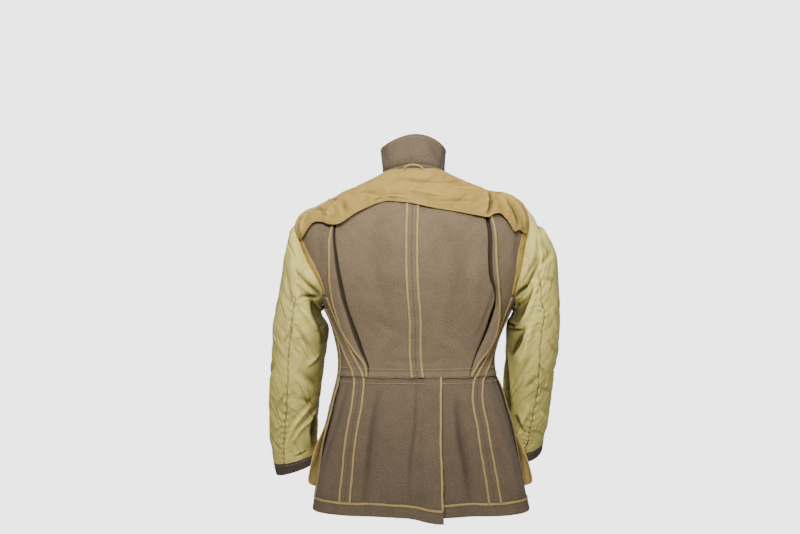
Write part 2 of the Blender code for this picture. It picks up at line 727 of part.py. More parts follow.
def armhole_points(side, rounds):
    shares = np.abs((rounds + 180.0) % 360.0 - 180.0) / 180.0
    level, angle = armhole_curve(side, shares)
    in_front = (rounds % 360.0) < 180.0
    return body_point(side * np.where(in_front, 180.0 - angle, angle), level, 0.0)


def sleeve_ring(side, row, rounds, inset):
    """One section of a sleeve. Round 0 is its outer side, 90 its front, 180 its inner side."""
    turn = np.radians(rounds)
    roll, pitch = math.radians(row.roll), math.radians(row.pitch)
    outward = np.array([side * math.cos(roll), 0.0, math.sin(roll)])
    forward = np.array([0.0, math.cos(pitch), math.sin(pitch)])
    return (np.array([row.x, row.y, row.z])
            + np.outer((row.across - inset) * np.cos(turn), outward)
            + np.outer((row.fore - inset) * np.sin(turn), forward))


def sleeve_points(side, rounds, stops, inset):
    """Sleeve surface: a smooth curve down the sleeve for each place round it."""
    rings = [armhole_ring(side, rounds, inset + ARMHOLE_EASE)]
    rings += [sleeve_ring(side, row, rounds, inset) for row in SLEEVES[side]]
    rings = np.array(rings)
    slopes = np.gradient(rings, axis=0)
    spot = np.clip(np.floor(stops).astype(int), 0, len(rings) - 2)
    t = (np.asarray(stops) - spot)[:, None, None]
    start = rings[spot] * (1 + 2 * t) + slopes[spot] * t
    end = rings[spot + 1] * (3 - 2 * t) - slopes[spot + 1] * (1 - t)
    return start * (1 - t) ** 2 + end * t ** 2


def sleeve(side):
    """Two-piece sleeve lining and the wool band at its end."""
    name = side_name(side)
    gap = 0.15
    stops = np.array([0.0, 0.5, 1.0, 2.0, 3.0, 4.0, 5.0, 6.0, 7.0, CUFF_START - 0.01])
    pieces = {
        "sleeve_top": np.linspace(ELBOW_SEAM + gap, INNER_SEAM - gap, 10),
        "sleeve_under": np.linspace(INNER_SEAM + gap, 360.0 + ELBOW_SEAM - gap, 7),
    }
    for piece, rounds in pieces.items():
        wall(f"{piece}_{name}", sleeve_points(side, rounds, stops, 0.0),
             sleeve_points(side, rounds, stops, LINING), "sleeve_sateen")
    rounds = np.linspace(0.0, 360.0, 21)
    stops = np.array([CUFF_START + 0.01, CUFF_START + 0.5, CUFF_END])
    wall(f"cuff_{name}", sleeve_points(side, rounds, stops, 0.0),
         sleeve_points(side, rounds, stops, CUFF_WOOL), "wool", closed=True)


# Pocket bags and buttons

def pocket_bag(side):
    """Cotton pocket bag that hangs loose on the front, swung out at its lower corner."""
    angles, levels = grid([fixed(side * angle) for angle in BAG_ANGLES], BAG_LEVELS)
    drop = (BAG_LEVELS[0] - levels) / (BAG_LEVELS[0] - BAG_LEVELS[-1])
    outward = 1.0 - 0.6 * (np.abs(angles) - BAG_ANGLES[0]) / (BAG_ANGLES[-1] - BAG_ANGLES[0])
    outs = BAG_THICK + 3 * LAYER_GAP + BAG_SWING * ease(drop) * outward
    wall(f"pocket_bag_{side_name(side)}", body_point(angles, levels, outs),
         body_point(angles, levels, outs - BAG_THICK), "pocket_cotton")


def button(number, level):
    """Domed button on the inner face of the closed fronts."""
    mesh = bmesh.new()
    bmesh.ops.create_uvsphere(mesh, u_segments=10, v_segments=5, radius=1.0)
    centre = body_point(CENTRE_FRONT, level, -WOOL - BUTTON_GAP - BUTTON_HEIGHT / 2)
    facing = body_point(CENTRE_FRONT, level, 0.0) - centre
    lean = Matrix.Rotation(math.atan2(facing[2], facing[1]), 3, "X")
    bmesh.ops.scale(mesh, verts=mesh.verts, vec=(BUTTON_RADIUS, BUTTON_HEIGHT / 2, BUTTON_RADIUS))
    bmesh.ops.rotate(mesh, verts=mesh.verts, cent=(0.0, 0.0, 0.0), matrix=lean)
    bmesh.ops.translate(mesh, verts=mesh.verts, vec=tuple(centre))
    finish(f"button_{number}", mesh, "button_horn")


def build():
    clear_scene()
    for side in (-1, 1):
        back_panel(side)
        side_back_panel(side)
        side_panel(side)
        front = front_panel(side)
        hem_binding(side, [skirt_back_panel(side), skirt_side_panel(side), front])
        sleeve(side)
        pocket_bag(side)
    yoke_panel()
    collar_piece("collar_stand", 0.0, 1.0 - 0.008)
    collar_piece("collar_fall", 1.0, 2.0)
    hanger_loop()
    for number, level in enumerate(BUTTON_LEVELS, start=1):
        button(number, level)


build()
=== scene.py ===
# %% [markdown]
# # A service jacket, turned inside out
# The jacket hangs in its worn form with its linings outside, so every seam shows. We build each piece as
# a maker cuts it: a sheet of cloth that follows the body's form, with its creases laid in one by one.
# All sizes are metres. The wearer faces +Y, the picture is taken from behind, and the origin is the neck.

import math
from collections import namedtuple

import bmesh
import bpy
import numpy as np
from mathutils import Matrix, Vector


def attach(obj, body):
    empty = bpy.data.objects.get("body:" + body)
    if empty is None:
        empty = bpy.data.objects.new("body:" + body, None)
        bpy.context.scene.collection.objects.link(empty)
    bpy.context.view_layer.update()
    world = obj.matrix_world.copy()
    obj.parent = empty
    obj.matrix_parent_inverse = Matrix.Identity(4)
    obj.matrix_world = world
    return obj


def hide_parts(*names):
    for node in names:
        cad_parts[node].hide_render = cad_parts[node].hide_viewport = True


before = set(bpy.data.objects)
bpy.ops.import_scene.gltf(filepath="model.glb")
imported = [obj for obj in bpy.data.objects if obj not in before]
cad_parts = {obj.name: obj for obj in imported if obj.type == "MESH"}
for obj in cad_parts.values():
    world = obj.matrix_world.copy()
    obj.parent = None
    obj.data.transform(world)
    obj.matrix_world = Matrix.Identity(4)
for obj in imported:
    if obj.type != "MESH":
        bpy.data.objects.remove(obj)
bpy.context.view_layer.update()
print("CAD nodes:", len(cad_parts))

# %% [markdown]
# ## The body's form
# Cloth that is worn takes the shape of what it hangs on. It could be sculpted, or draped by a
# simulation, but then no size could be read off or set. Here the form is a stack of rounded sections,
# each with its height at the back, sides and front, and a smooth curve through the table gives every
# height between them. One form for all panels keeps neighbouring pieces together without fitting each.

# %% Sections of the body
NECK = 0.009
WAIST = -0.432
HEM = -0.727
SQUARENESS = 2.3

Ring = namedtuple("Ring", "level left right front centre half_width back_depth front_depth")
BODY = [
    Ring(0.009, -0.009, -0.003, -0.062, 0.002, 0.0717, 0.062, 0.068),
    Ring(-0.012, -0.030, -0.021, -0.078, 0.001, 0.115, 0.076, 0.080),
    Ring(-0.040, -0.046, -0.034, -0.100, 0.000, 0.160, 0.090, 0.095),
    Ring(-0.075, -0.067, -0.043, -0.125, 0.000, 0.205, 0.102, 0.108),
    Ring(-0.110, -0.088, -0.062, -0.150, 0.001, 0.240, 0.109, 0.117),
    Ring(-0.150, -0.118, -0.095, -0.180, 0.004, 0.256, 0.114, 0.123),
    Ring(-0.200, -0.185, -0.175, -0.215, 0.007, 0.248, 0.116, 0.127),
    Ring(-0.262, -0.262, -0.262, -0.262, 0.011, 0.220, 0.112, 0.126),
    Ring(-0.310, -0.310, -0.310, -0.310, 0.012, 0.197, 0.105, 0.122),
    Ring(-0.360, -0.360, -0.360, -0.360, 0.010, 0.178, 0.095, 0.117),
    Ring(-0.400, -0.400, -0.400, -0.400, 0.008, 0.170, 0.090, 0.113),
    Ring(-0.432, -0.432, -0.432, -0.432, 0.009, 0.172, 0.090, 0.112),
    Ring(-0.500, -0.500, -0.500, -0.500, 0.011, 0.190, 0.101, 0.117),
    Ring(-0.600, -0.600, -0.600, -0.600, 0.014, 0.213, 0.115, 0.127),
    Ring(-0.727, -0.727, -0.727, -0.727, 0.0177, 0.236, 0.122, 0.136),
    Ring(-0.747, -0.747, -0.747, -0.747, 0.0183, 0.2396, 0.123, 0.1374),
]
print("body sections:", len(BODY))

# %% Points on the form
def smooth(rows, name, at):
    """One column of a table on a smooth curve through its rows, which the first column orders."""
    rows = sorted(rows)
    keys = np.array([row[0] for row in rows], float)
    values = np.array([getattr(row, name) for row in rows], float)
    slopes = np.gradient(values, keys)
    at = np.clip(at, keys[0], keys[-1])
    spot = np.clip(np.searchsorted(keys, at) - 1, 0, len(keys) - 2)
    span = keys[spot + 1] - keys[spot]
    t = (at - keys[spot]) / span
    start = values[spot] * (1 + 2 * t) + slopes[spot] * span * t
    end = values[spot + 1] * (3 - 2 * t) - slopes[spot + 1] * span * (1 - t)
    return start * (1 - t) ** 2 + end * t ** 2


def ease(t):
    t = np.clip(t, 0.0, 1.0)
    return t * t * (3 - 2 * t)


def section(turn):
    """Sine, cosine and reach of the rounded section at a turn in degrees."""
    across, along = np.sin(np.radians(turn)), np.cos(np.radians(turn))
    reach = (np.abs(across) ** SQUARENESS + np.abs(along) ** SQUARENESS) ** (-1 / SQUARENESS)
    return across, along, reach


def plain_point(angle, level):
    across, along, reach = section(angle)
    depth = np.where(along > 0, smooth(BODY, "back_depth", level), smooth(BODY, "front_depth", level))
    side = np.where(across < 0, smooth(BODY, "left", level), smooth(BODY, "right", level))
    end = np.where(along > 0, level, smooth(BODY, "front", level))
    x = smooth(BODY, "centre", level) + smooth(BODY, "half_width", level) * reach * across
    return np.stack([x, -depth * reach * along, side * across ** 2 + end * along ** 2], axis=-1)


def plain_normal(angle, level):
    turn_step, level_step = 0.05, 0.0004
    across = plain_point(angle + turn_step, level) - plain_point(angle - turn_step, level)
    top = np.minimum(level + level_step, NECK)
    up = plain_point(angle, top) - plain_point(angle, top - 2 * level_step)
    normal = np.cross(across, up)
    return normal / np.linalg.norm(normal, axis=-1, keepdims=True)


print("section at the waist:", np.round(plain_point(np.array([0.0, 90.0, 180.0]), WAIST), 3).tolist())

# %% [markdown]
# ## Folds and creases
# A crease is a trough or ridge along a short path, sharp at its bottom, deepest in its middle and fading
# at both ends. Beside each trough the pushed cloth rises a little, which makes it read as bent cloth and
# not as a scratch. A cloth simulation would make creases too, but in places of its own choice. Real ones
# follow pull and weight, so they are placed one by one here. A slow ripple on top keeps the plain areas
# from looking ruled.

# %% Creases as a lift off the form
Crease = namedtuple("Crease", "path height width")
ARC = 0.0031          # metres of cloth for one degree round the body
# At this depth a trough gets the full painted shade.
HOLLOW_DEPTH = 0.0055  # a trough this deep is fully shaded by its own walls


def crease_lift(u, v, creases, scale, sharp=1.0):
    """Sum of all creases at places (u, v). Scale turns a path's two numbers into metres."""
    lift = np.zeros(np.broadcast(u, v).shape)
    for crease in creases:
        path = np.array(crease.path) * np.array(scale)
        width = crease.width / sharp
        parts = np.linalg.norm(np.diff(path, axis=0), axis=1)
        total = parts.sum()
        best = np.full(lift.shape, np.inf)
        signed = np.zeros(lift.shape)
        share = np.zeros(lift.shape)
        walked = 0.0
        for first, second, part in zip(path, path[1:], parts):
            du, dv = (second - first) / part
            along = np.clip((u - first[0]) * du + (v - first[1]) * dv, -0.25 * part, 1.25 * part)
            inside = np.clip(along, 0.0, part)
            off_u, off_v = u - first[0] - inside * du, v - first[1] - inside * dv
            away = np.hypot(off_u, off_v)
            nearer = away < best
            best = np.where(nearer, away, best)
            signed = np.where(nearer, (off_u * dv - off_v * du), signed)
            share = np.where(nearer, (walked + along) / total, share)
            walked += part
        fade = np.sin(np.pi * np.clip(0.08 + 0.84 * share, 0.0, 1.0)) ** 0.7
        core = np.exp(-(best / width) ** 1.35)
        beside = np.exp(-((signed / width - 1.7) / 0.9) ** 2) * np.exp(-(best / width / 3) ** 4)
        lift = lift + crease.height * fade * (core - 0.40 * beside)
    return lift


one_trough = [Crease(((-0.02, 0.0), (0.02, 0.0)), -0.001, 0.004)]
middle_lift = crease_lift(np.array(0.0), np.array(0.0), one_trough, (1.0, 1.0))
print("lift in the middle of a 1 mm trough:", round(float(middle_lift), 5))

# %% Slow waves and small dents
def ripple(u, v, length, height):
    """Slow uneven waves over cloth, with no direction that repeats."""
    first = np.sin(2 * np.pi * (0.83 * u + 0.31 * v) / length + 0.7)
    second = np.sin(2 * np.pi * (-0.42 * u + 0.95 * v) / (1.37 * length) + 2.1)
    third = np.sin(2 * np.pi * (0.61 * u - 0.74 * v) / (0.73 * length) + 4.4)
    return height * (first * second + 0.6 * third * first + 0.4 * second)


def crumple(u, v, size, height):
    """Short sharp dents in no one direction, as thin cloth keeps after wear."""
    bent_u = u + 0.16 * size * np.sin(2 * np.pi * v / (1.9 * size) + 1.3)
    bent_v = v + 0.16 * size * np.sin(2 * np.pi * u / (2.3 * size) + 0.4)
    total = 0.0
    for turn, phase in ((0.45, 0.0), (1.25, 1.7), (2.30, 4.1)):
        across = 2 * np.pi * (bent_u * math.cos(turn) + bent_v * math.sin(turn)) / size
        along = 2 * np.pi * (bent_v * math.cos(turn) - bent_u * math.sin(turn)) / (2.7 * size)
        dent = np.exp(-(np.sin(across + phase) / 0.42) ** 2)
        total = total + dent * ease(0.35 + np.sin(along + 2.3 * phase))
    return height * (0.6 - total)


print("a slow wave at the origin:", round(float(ripple(0.0, 0.0, 0.05, 0.001)), 5))

# %% [markdown]
# ## How the wool hangs
# Below the waist the skirt falls free, so its folds grow from nothing at the waist seam to a centimetre
# and more at the hem. Above it the wool is stretched over the back, with only faint drags that run from
# the pleats and the waist. A displacement texture could lift the cloth in the same way. Two tables of
# folds and creases need less guesswork, because each row is one fold that can be found and moved.

# %% Skirt folds and wool creases
Fold = namedtuple("Fold", "angle half_width height")
SKIRT_FOLDS = [
    Fold(-62.0, 11.0, 0.006),
    Fold(-25.0, 13.0, -0.013),
    Fold(27.0, 10.0, -0.016),
    Fold(55.0, 17.0, 0.016),
    Fold(-112.0, 16.0, -0.008),
    Fold(-142.0, 13.0, 0.008),
    Fold(118.0, 16.0, -0.008),
    Fold(148.0, 13.0, 0.008),
]
WOOL_CREASES = [
    Crease(((44.0, -0.250), (43.5, -0.300), (42.0, -0.345)), -0.0022, 0.0050),
    Crease(((36.0, -0.405), (26.0, -0.375), (15.0, -0.355)), 0.0020, 0.0110),
    Crease(((-33.0, -0.410), (-25.0, -0.372), (-14.0, -0.340)), 0.0020, 0.0120),
    Crease(((-30.0, -0.300), (-20.0, -0.330), (-8.0, -0.345)), -0.0014, 0.0100),
    Crease(((-22.0, -0.398), (0.0, -0.403), (18.0, -0.397)), -0.0012, 0.0070),
    Crease(((-16.0, -0.110), (-19.0, -0.200), (-17.0, -0.310)), -0.0016, 0.0160),
    Crease(((17.0, -0.120), (21.0, -0.210), (20.0, -0.330)), -0.0018, 0.0150),
    Crease(((32.0, -0.140), (30.0, -0.220), (36.0, -0.300)), 0.0016, 0.0120),
    Crease(((-48.0, -0.150), (-52.0, -0.200)), -0.0018, 0.0080),
    Crease(((54.0, -0.160), (57.0, -0.215)), -0.0020, 0.0080),
    Crease(((-27.5, -0.470), (-29.5, -0.560), (-30.5, -0.640), (-31.0, -0.705)), -0.0044, 0.0060),
    Crease(((-0.5, -0.446), (-2.5, -0.545), (-5.5, -0.608), (-6.5, -0.700)), -0.0034, 0.0032),
    Crease(((-15.0, -0.455), (-16.0, -0.560), (-18.0, -0.705)), 0.0034, 0.0170),
    Crease(((25.0, -0.490), (24.5, -0.568), (26.0, -0.620), (27.0, -0.700)), -0.0052, 0.0065),
    Crease(((33.0, -0.470), (34.0, -0.580), (35.5, -0.700)), 0.0028, 0.0100),
    Crease(((52.0, -0.460), (55.0, -0.560), (58.0, -0.690)), 0.0030, 0.0120),
    Crease(((-55.0, -0.455), (-58.0, -0.540), (-66.0, -0.640)), -0.0030, 0.0100),
    Crease(((68.0, -0.455), (72.0, -0.540), (76.0, -0.660)), -0.0035, 0.0110),
    Crease(((150.0, -0.180), (160.0, -0.260), (163.0, -0.360)), -0.0030, 0.0140),
    Crease(((-150.0, -0.190), (-158.0, -0.280), (-162.0, -0.380)), -0.0030, 0.0140),
    Crease(((128.0, -0.300), (140.0, -0.370), (160.0, -0.425)), 0.0030, 0.0120),
    Crease(((126.0, -0.212), (140.0, -0.255), (150.0, -0.320)), -0.0046, 0.0070),
    Crease(((-125.0, -0.208), (-139.0, -0.262), (-151.0, -0.335)), -0.0050, 0.0075),
    Crease(((116.0, -0.384), (138.0, -0.402), (160.0, -0.421)), -0.0044, 0.0060),
    Crease(((-114.0, -0.380), (-136.0, -0.404), (-161.0, -0.415)), -0.0046, 0.0060),
    Crease(((110.0, -0.424), (130.0, -0.440), (152.0, -0.452)), 0.0036, 0.0070),
    Crease(((-112.0, -0.428), (-132.0, -0.446), (-154.0, -0.456)), 0.0038, 0.0075),
    Crease(((163.0, -0.470), (160.0, -0.580), (157.0, -0.700)), -0.0044, 0.0110),
    Crease(((-163.0, -0.480), (-160.0, -0.590), (-156.0, -0.705)), -0.0046, 0.0110),
    Crease(((148.0, -0.104), (157.0, -0.150), (165.0, -0.215)), 0.0034, 0.0100),
    Crease(((-149.0, -0.108), (-157.0, -0.162), (-164.0, -0.224)), 0.0036, 0.0100),
    Crease(((-126.0, -0.300), (-140.0, -0.370), (-158.0, -0.425)), 0.0030, 0.0120),
]
print("skirt folds and wool creases:", len(SKIRT_FOLDS), len(WOOL_CREASES))

# %% The wool's skin
def turned(angle):
    return (np.asarray(angle, float) + 180.0) % 360.0 - 180.0


def wool_lift(angle, level):
    """How far the wool's folds and creases lift it off the plain form."""
    angle = turned(angle)
    drop = ease((WAIST - level) / (WAIST - HEM))
    lift = sum(fold.height * np.exp(-((angle - fold.angle) / fold.half_width) ** 2) for fold in SKIRT_FOLDS)
    creased = crease_lift(angle * ARC, level, WOOL_CREASES, (ARC, 1.0))
    return lift * drop + creased + ripple(angle * ARC, level, 0.085, 0.0006)


def body_skin(angle, level, out):
    """A place on the hung wool, moved out along the form's normal."""
    angle, level, out = np.broadcast_arrays(np.asarray(angle, float), np.asarray(level, float), out)
    lift = wool_lift(angle, level)
    return plain_point(angle, level) + plain_normal(angle, level) * (out + lift)[..., None]


def wool_painted_shade(angle, level):
    """Painted shade in the wool's troughs, 0 to 1."""
    creased = crease_lift(turned(angle) * ARC, level, WOOL_CREASES, (ARC, 1.0))
    return np.clip(-creased / HOLLOW_DEPTH, 0.0, 1.0)


print("lift at the hem's deepest fold:", round(float(wool_lift(27.0, np.array(HEM))), 4))

# %% [markdown]
# ## Seam lines
# A panel's edge is a seam line: an angle round the body for each height. Curves drawn in the viewport and
# projected onto the form would do as well, but a table stays on the form when the form changes. The lines
# of the two sides are not mirror images, because the jacket hangs askew. A second line beside a seam,
# some millimetres away over the cloth, gives the edge of its allowance.

# %% Sizes of seams and tapes
WOOL = 0.0013
LINING = 0.0008
ALLOWANCE = 0.0132
TAPE_WIDTH = 0.0052
TAPE_HEIGHT = 0.0023
ARM_JOINT = -0.262
ARM_BOTTOM = -0.285
HEM_TURN = 0.0265
SEAM_DIP = -0.0012     # cloth is drawn in this far where two panels are sewn
SEAM_EDGE = 0.0024     # and this far to each side of the seam
WAIST_LAP = -0.4365    # the upper panels end here, over the top of the skirt
SIDE_SEAMS = {-1: 79.0, 1: 92.0}
print("seam allowance and tape:", ALLOWANCE, TAPE_WIDTH)

# %% Tables of the seam lines
Line = namedtuple("Line", "level left right")
CENTRE_SEAM = [
    Line(0.009, -0.3, -0.3),
    Line(-0.090, -0.5, -0.5),
    Line(-0.200, -2.3, -2.3),
    Line(-0.270, -2.7, -2.7),
    Line(-0.350, -1.8, -1.8),
    Line(-0.432, -0.2, -0.2),
]
PLEAT_FOLD = [
    Line(0.009, 60.0, 60.0),
    Line(-0.040, 47.0, 46.0),
    Line(-0.080, 42.0, 40.0),
    Line(-0.125, 40.0, 36.5),
    Line(-0.180, 39.2, 35.6),
    Line(-0.230, 40.9, 38.9),
    Line(-0.262, 42.7, 45.6),
    Line(-0.310, 44.2, 47.2),
    Line(-0.350, 42.1, 47.6),
    Line(-0.385, 39.2, 45.4),
    Line(-0.414, 35.6, 41.6),
    Line(-0.432, 35.5, 39.0),
]
PLEAT_BOUND = [
    Line(0.009, 64.0, 64.0),
    Line(-0.080, 44.5, 43.0),
    Line(-0.125, 41.8, 40.0),
    Line(-0.1625, 42.6, 39.2),
    Line(-0.210, 46.2, 41.2),
    Line(-0.250, 51.2, 45.8),
    Line(-0.290, 55.8, 51.0),
    Line(-0.335, 56.2, 56.5),
    Line(-0.380, 47.6, 55.0),
    Line(-0.410, 38.6, 46.6),
    Line(-0.432, 36.6, 40.6),
]
SIDE_BACK_SEAM = [
    Line(-0.262, 64.5, 68.5),
    Line(-0.310, 67.0, 71.0),
    Line(-0.350, 63.5, 72.5),
    Line(-0.385, 56.5, 67.5),
    Line(-0.414, 48.5, 57.5),
    Line(-0.432, 44.5, 50.0),
    Line(-0.470, 42.0, 42.5),
    Line(-0.550, 42.5, 40.0),
    Line(-0.727, 42.2, 40.0),
]
VENT_EDGE = [
    Line(-0.432, 17.6, 17.6),
    Line(-0.483, 15.2, 15.2),
    Line(-0.565, 12.8, 12.8),
    Line(-0.648, 11.6, 11.6),
    Line(-0.727, 10.8, 10.8),
]
print("rows of the pleat's fold:", len(PLEAT_FOLD))

# %% Lines on the body
def side_name(side):
    return "left" if side < 0 else "right"


def line(rows, side):
    """A seam line as a function of level, with its side's sign."""
    def angle(level):
        return side * smooth(rows, side_name(side), level)
    return angle


def centre_seam(level):
    return smooth(CENTRE_SEAM, "left", level)


def aside(seam, length):
    """The line that runs beside a seam, a length of cloth away. The length may change with the level."""
    def angle(level):
        at = seam(level)
        step = 0.1
        gap = plain_point(at + step, level) - plain_point(at - step, level)
        return at + 2 * step * length / np.linalg.norm(gap, axis=-1)
    return angle


def between(first, second, share):
    def angle(level):
        return first(level) + share * (second(level) - first(level))
    return angle


def moved(seam, turn):
    def angle(level):
        return seam(level) + turn
    return angle


def fixed(turn):
    def angle(level):
        return np.full(np.shape(level), turn)
    return angle


SHOULDER_BLADES = -0.25
folds = [round(float(line(PLEAT_FOLD, side)(SHOULDER_BLADES)), 1) for side in (-1, 1)]
print("pleat folds at the shoulder blades:", folds)

# %% [markdown]
# ## Armholes
# The back edge of each armhole runs from the shoulder point down to the underarm. The front edge repeats
# it, mirrored in the shoulder line, because it can't be seen from behind. A boolean could cut the holes
# out of a finished body, but it would leave ragged faces. The side back and front panels read their outer
# edges from these curves instead, and so do the sleeves, so the edges meet by themselves.

# %% Armhole curves
Armhole = namedtuple("Armhole", "share level angle")
ARMHOLES = {
    -1: [
        Armhole(0.0, -0.140, 90.0),
        Armhole(0.2, -0.156, 81.0),
        Armhole(0.4, -0.186, 71.0),
        Armhole(0.6, -0.2255, 62.0),
        Armhole(0.8, -0.262, 64.5),
        Armhole(0.9, -0.279, 74.5),
        Armhole(1.0, -0.285, 90.0),
    ],
    1: [
        Armhole(0.0, -0.092, 90.0),
        Armhole(0.2, -0.116, 79.0),
        Armhole(0.4, -0.168, 66.5),
        Armhole(0.6, -0.217, 65.0),
        Armhole(0.8, -0.262, 68.5),
        Armhole(0.9, -0.279, 77.0),
        Armhole(1.0, -0.285, 90.0),
    ],
}
print("rows of an armhole:", [len(rows) for rows in ARMHOLES.values()])

# %% Edges at the armholes
def armhole_curve(side, share):
    rows = ARMHOLES[side]
    return smooth(rows, "level", share), smooth(rows, "angle", share)


def armhole_angle(side, level):
    levels, angles = armhole_curve(side, np.linspace(0.0, 1.0, 201))
    return np.interp(-np.asarray(level), -levels, angles)


def back_outer_edge(side):
    """Outer edge of the side back: shoulder seam, then armhole, then side back seam."""
    seam = line(SIDE_BACK_SEAM, side)

    def angle(level):
        upper = np.where(level > ARMHOLES[side][0].level, 90.0, armhole_angle(side, level))
        return np.where(level > ARM_JOINT, side * upper, seam(level))
    return angle


def front_outer_edge(side):
    """Outer edge of a front: shoulder seam, then armhole, then side seam."""
    def angle(level):
        upper = np.where(level > ARMHOLES[side][0].level, 90.0, 180.0 - armhole_angle(side, level))
        return side * np.where(level <= ARM_BOTTOM, SIDE_SEAMS[side], upper)
    return angle


armhole_depths = [round(rows[0].level - ARM_BOTTOM, 3) for rows in ARMHOLES.values()]
print("armhole depth, left and right:", armhole_depths)

# %% [markdown]
# ## Cloth finishes
# Wool, cotton, sateen and tape differ in colour, weave and gloss. Painted images could show that, but
# they grow coarse close up, so every cloth gets one procedural material. A fine thread pattern in the
# cloth's own flat measure makes a bump. Noise at three sizes varies the colour: single fibres, worn
# patches and broad fading. Light and shade are painted into the colour too, from a value that each mesh
# carries: painted shade of 1 in a deep trough and 2 in the depth of a pleat, and painted light of -1 on a
# ridge. Thin cottons also get small crumples as a second bump, with painted shade in their lines.

# %% Table of finishes
Finish = namedtuple("Finish", "colour dark light roughness sheen weave bump specular crumple")
FINISHES = {
    "wool": Finish((0.213, 0.153, 0.092), 0.78, 1.21, 0.95, 0.05, 0.0016, 0.55, 0.12, 0.0),
    # The skirt is the same wool as the body. Its darker colour is painted shade for the less lit lower
    # part.
    "skirt_wool_painted_shade": Finish((0.166, 0.120, 0.076), 0.74, 1.24, 0.95, 0.05, 0.0016, 0.55, 0.12, 0.0),
    "collar_wool": Finish((0.158, 0.115, 0.073), 0.76, 1.22, 0.95, 0.05, 0.0015, 0.45, 0.12, 0.0),
    "cuff_wool": Finish((0.086, 0.067, 0.050), 0.80, 1.20, 0.95, 0.04, 0.0016, 0.50, 0.10, 0.0),
    "shoulder_cotton": Finish((0.428, 0.280, 0.064), 0.90, 1.08, 0.80, 0.03, 0.0011, 0.30, 0.16, 0.80),
    "sleeve_sateen": Finish((0.750, 0.640, 0.178), 0.90, 1.08, 0.62, 0.02, 0.0009, 0.20, 0.16, 1.00),
    "binding": Finish((0.490, 0.346, 0.122), 0.82, 1.16, 0.75, 0.03, 0.0012, 0.40, 0.20, 0.0),
    "pocket_cotton": Finish((0.760, 0.515, 0.168), 0.88, 1.10, 0.85, 0.03, 0.0012, 0.30, 0.18, 0.60),
    "thread": Finish((0.560, 0.430, 0.230), 0.90, 1.10, 0.70, 0.03, 0.0010, 0.10, 0.20, 0.0),
}
print("finishes:", list(FINISHES))

# %% Node helpers
def link(tree, source, output, target, socket):
    tree.links.new(source.outputs[output], target.inputs[socket])


def noise_node(tree, uv, size, detail):
    """Noise whose grains are about the given size in metres."""
    node = tree.nodes.new("ShaderNodeTexNoise")
    node.inputs["Scale"].default_value = 1.0 / size
    node.inputs["Detail"].default_value = detail
    link(tree, uv, "UV", node, "Vector")
    return node


def to_range(tree, source, output, low, high, start=0.3, stop=0.7):
    node = tree.nodes.new("ShaderNodeMapRange")
    for socket, value in (("From Min", start), ("From Max", stop), ("To Min", low), ("To Max", high)):
        node.inputs[socket].default_value = value
    link(tree, source, output, node, "Value")
    return node


def multiply(tree, first, second):
    node = tree.nodes.new("ShaderNodeMath")
    node.operation = "MULTIPLY"
    link(tree, first[0], first[1], node, 0)
    link(tree, second[0], second[1], node, 1)
    return node

# %% Small folds of thin cotton
FOLD_SIZE = 0.042
FOLD_DEPTH = 0.0016
FOLD_LOW, FOLD_HIGH = 0.86, 1.25
FOLD_PAINTED_SHADE = 0.80


def small_folds(tree, uv):
    """Thin lines that come and go, longer across the cloth than along it: 1 on a line and 0 beside it."""
    stretch = tree.nodes.new("ShaderNodeMapping")
    stretch.inputs["Scale"].default_value = (0.62, 1.25, 1.0)
    link(tree, uv, "UV", stretch, "Vector")
    ridges = noise_node(tree, uv, FOLD_SIZE, 1.0)
    ridges.noise_type = "RIDGED_MULTIFRACTAL"
    ridges.inputs["Offset"].default_value = 1.0
    link(tree, stretch, "Vector", ridges, "Vector")
    lines = to_range(tree, ridges, "Fac", 0.0, 1.0, FOLD_LOW, FOLD_HIGH)
    some = to_range(tree, noise_node(tree, uv, 1.7 * FOLD_SIZE, 1.0), "Fac", 0.0, 1.0, 0.40, 0.60)
    return multiply(tree, (lines, "Result"), (some, "Result"))


print("small folds, metres apart:", FOLD_SIZE)

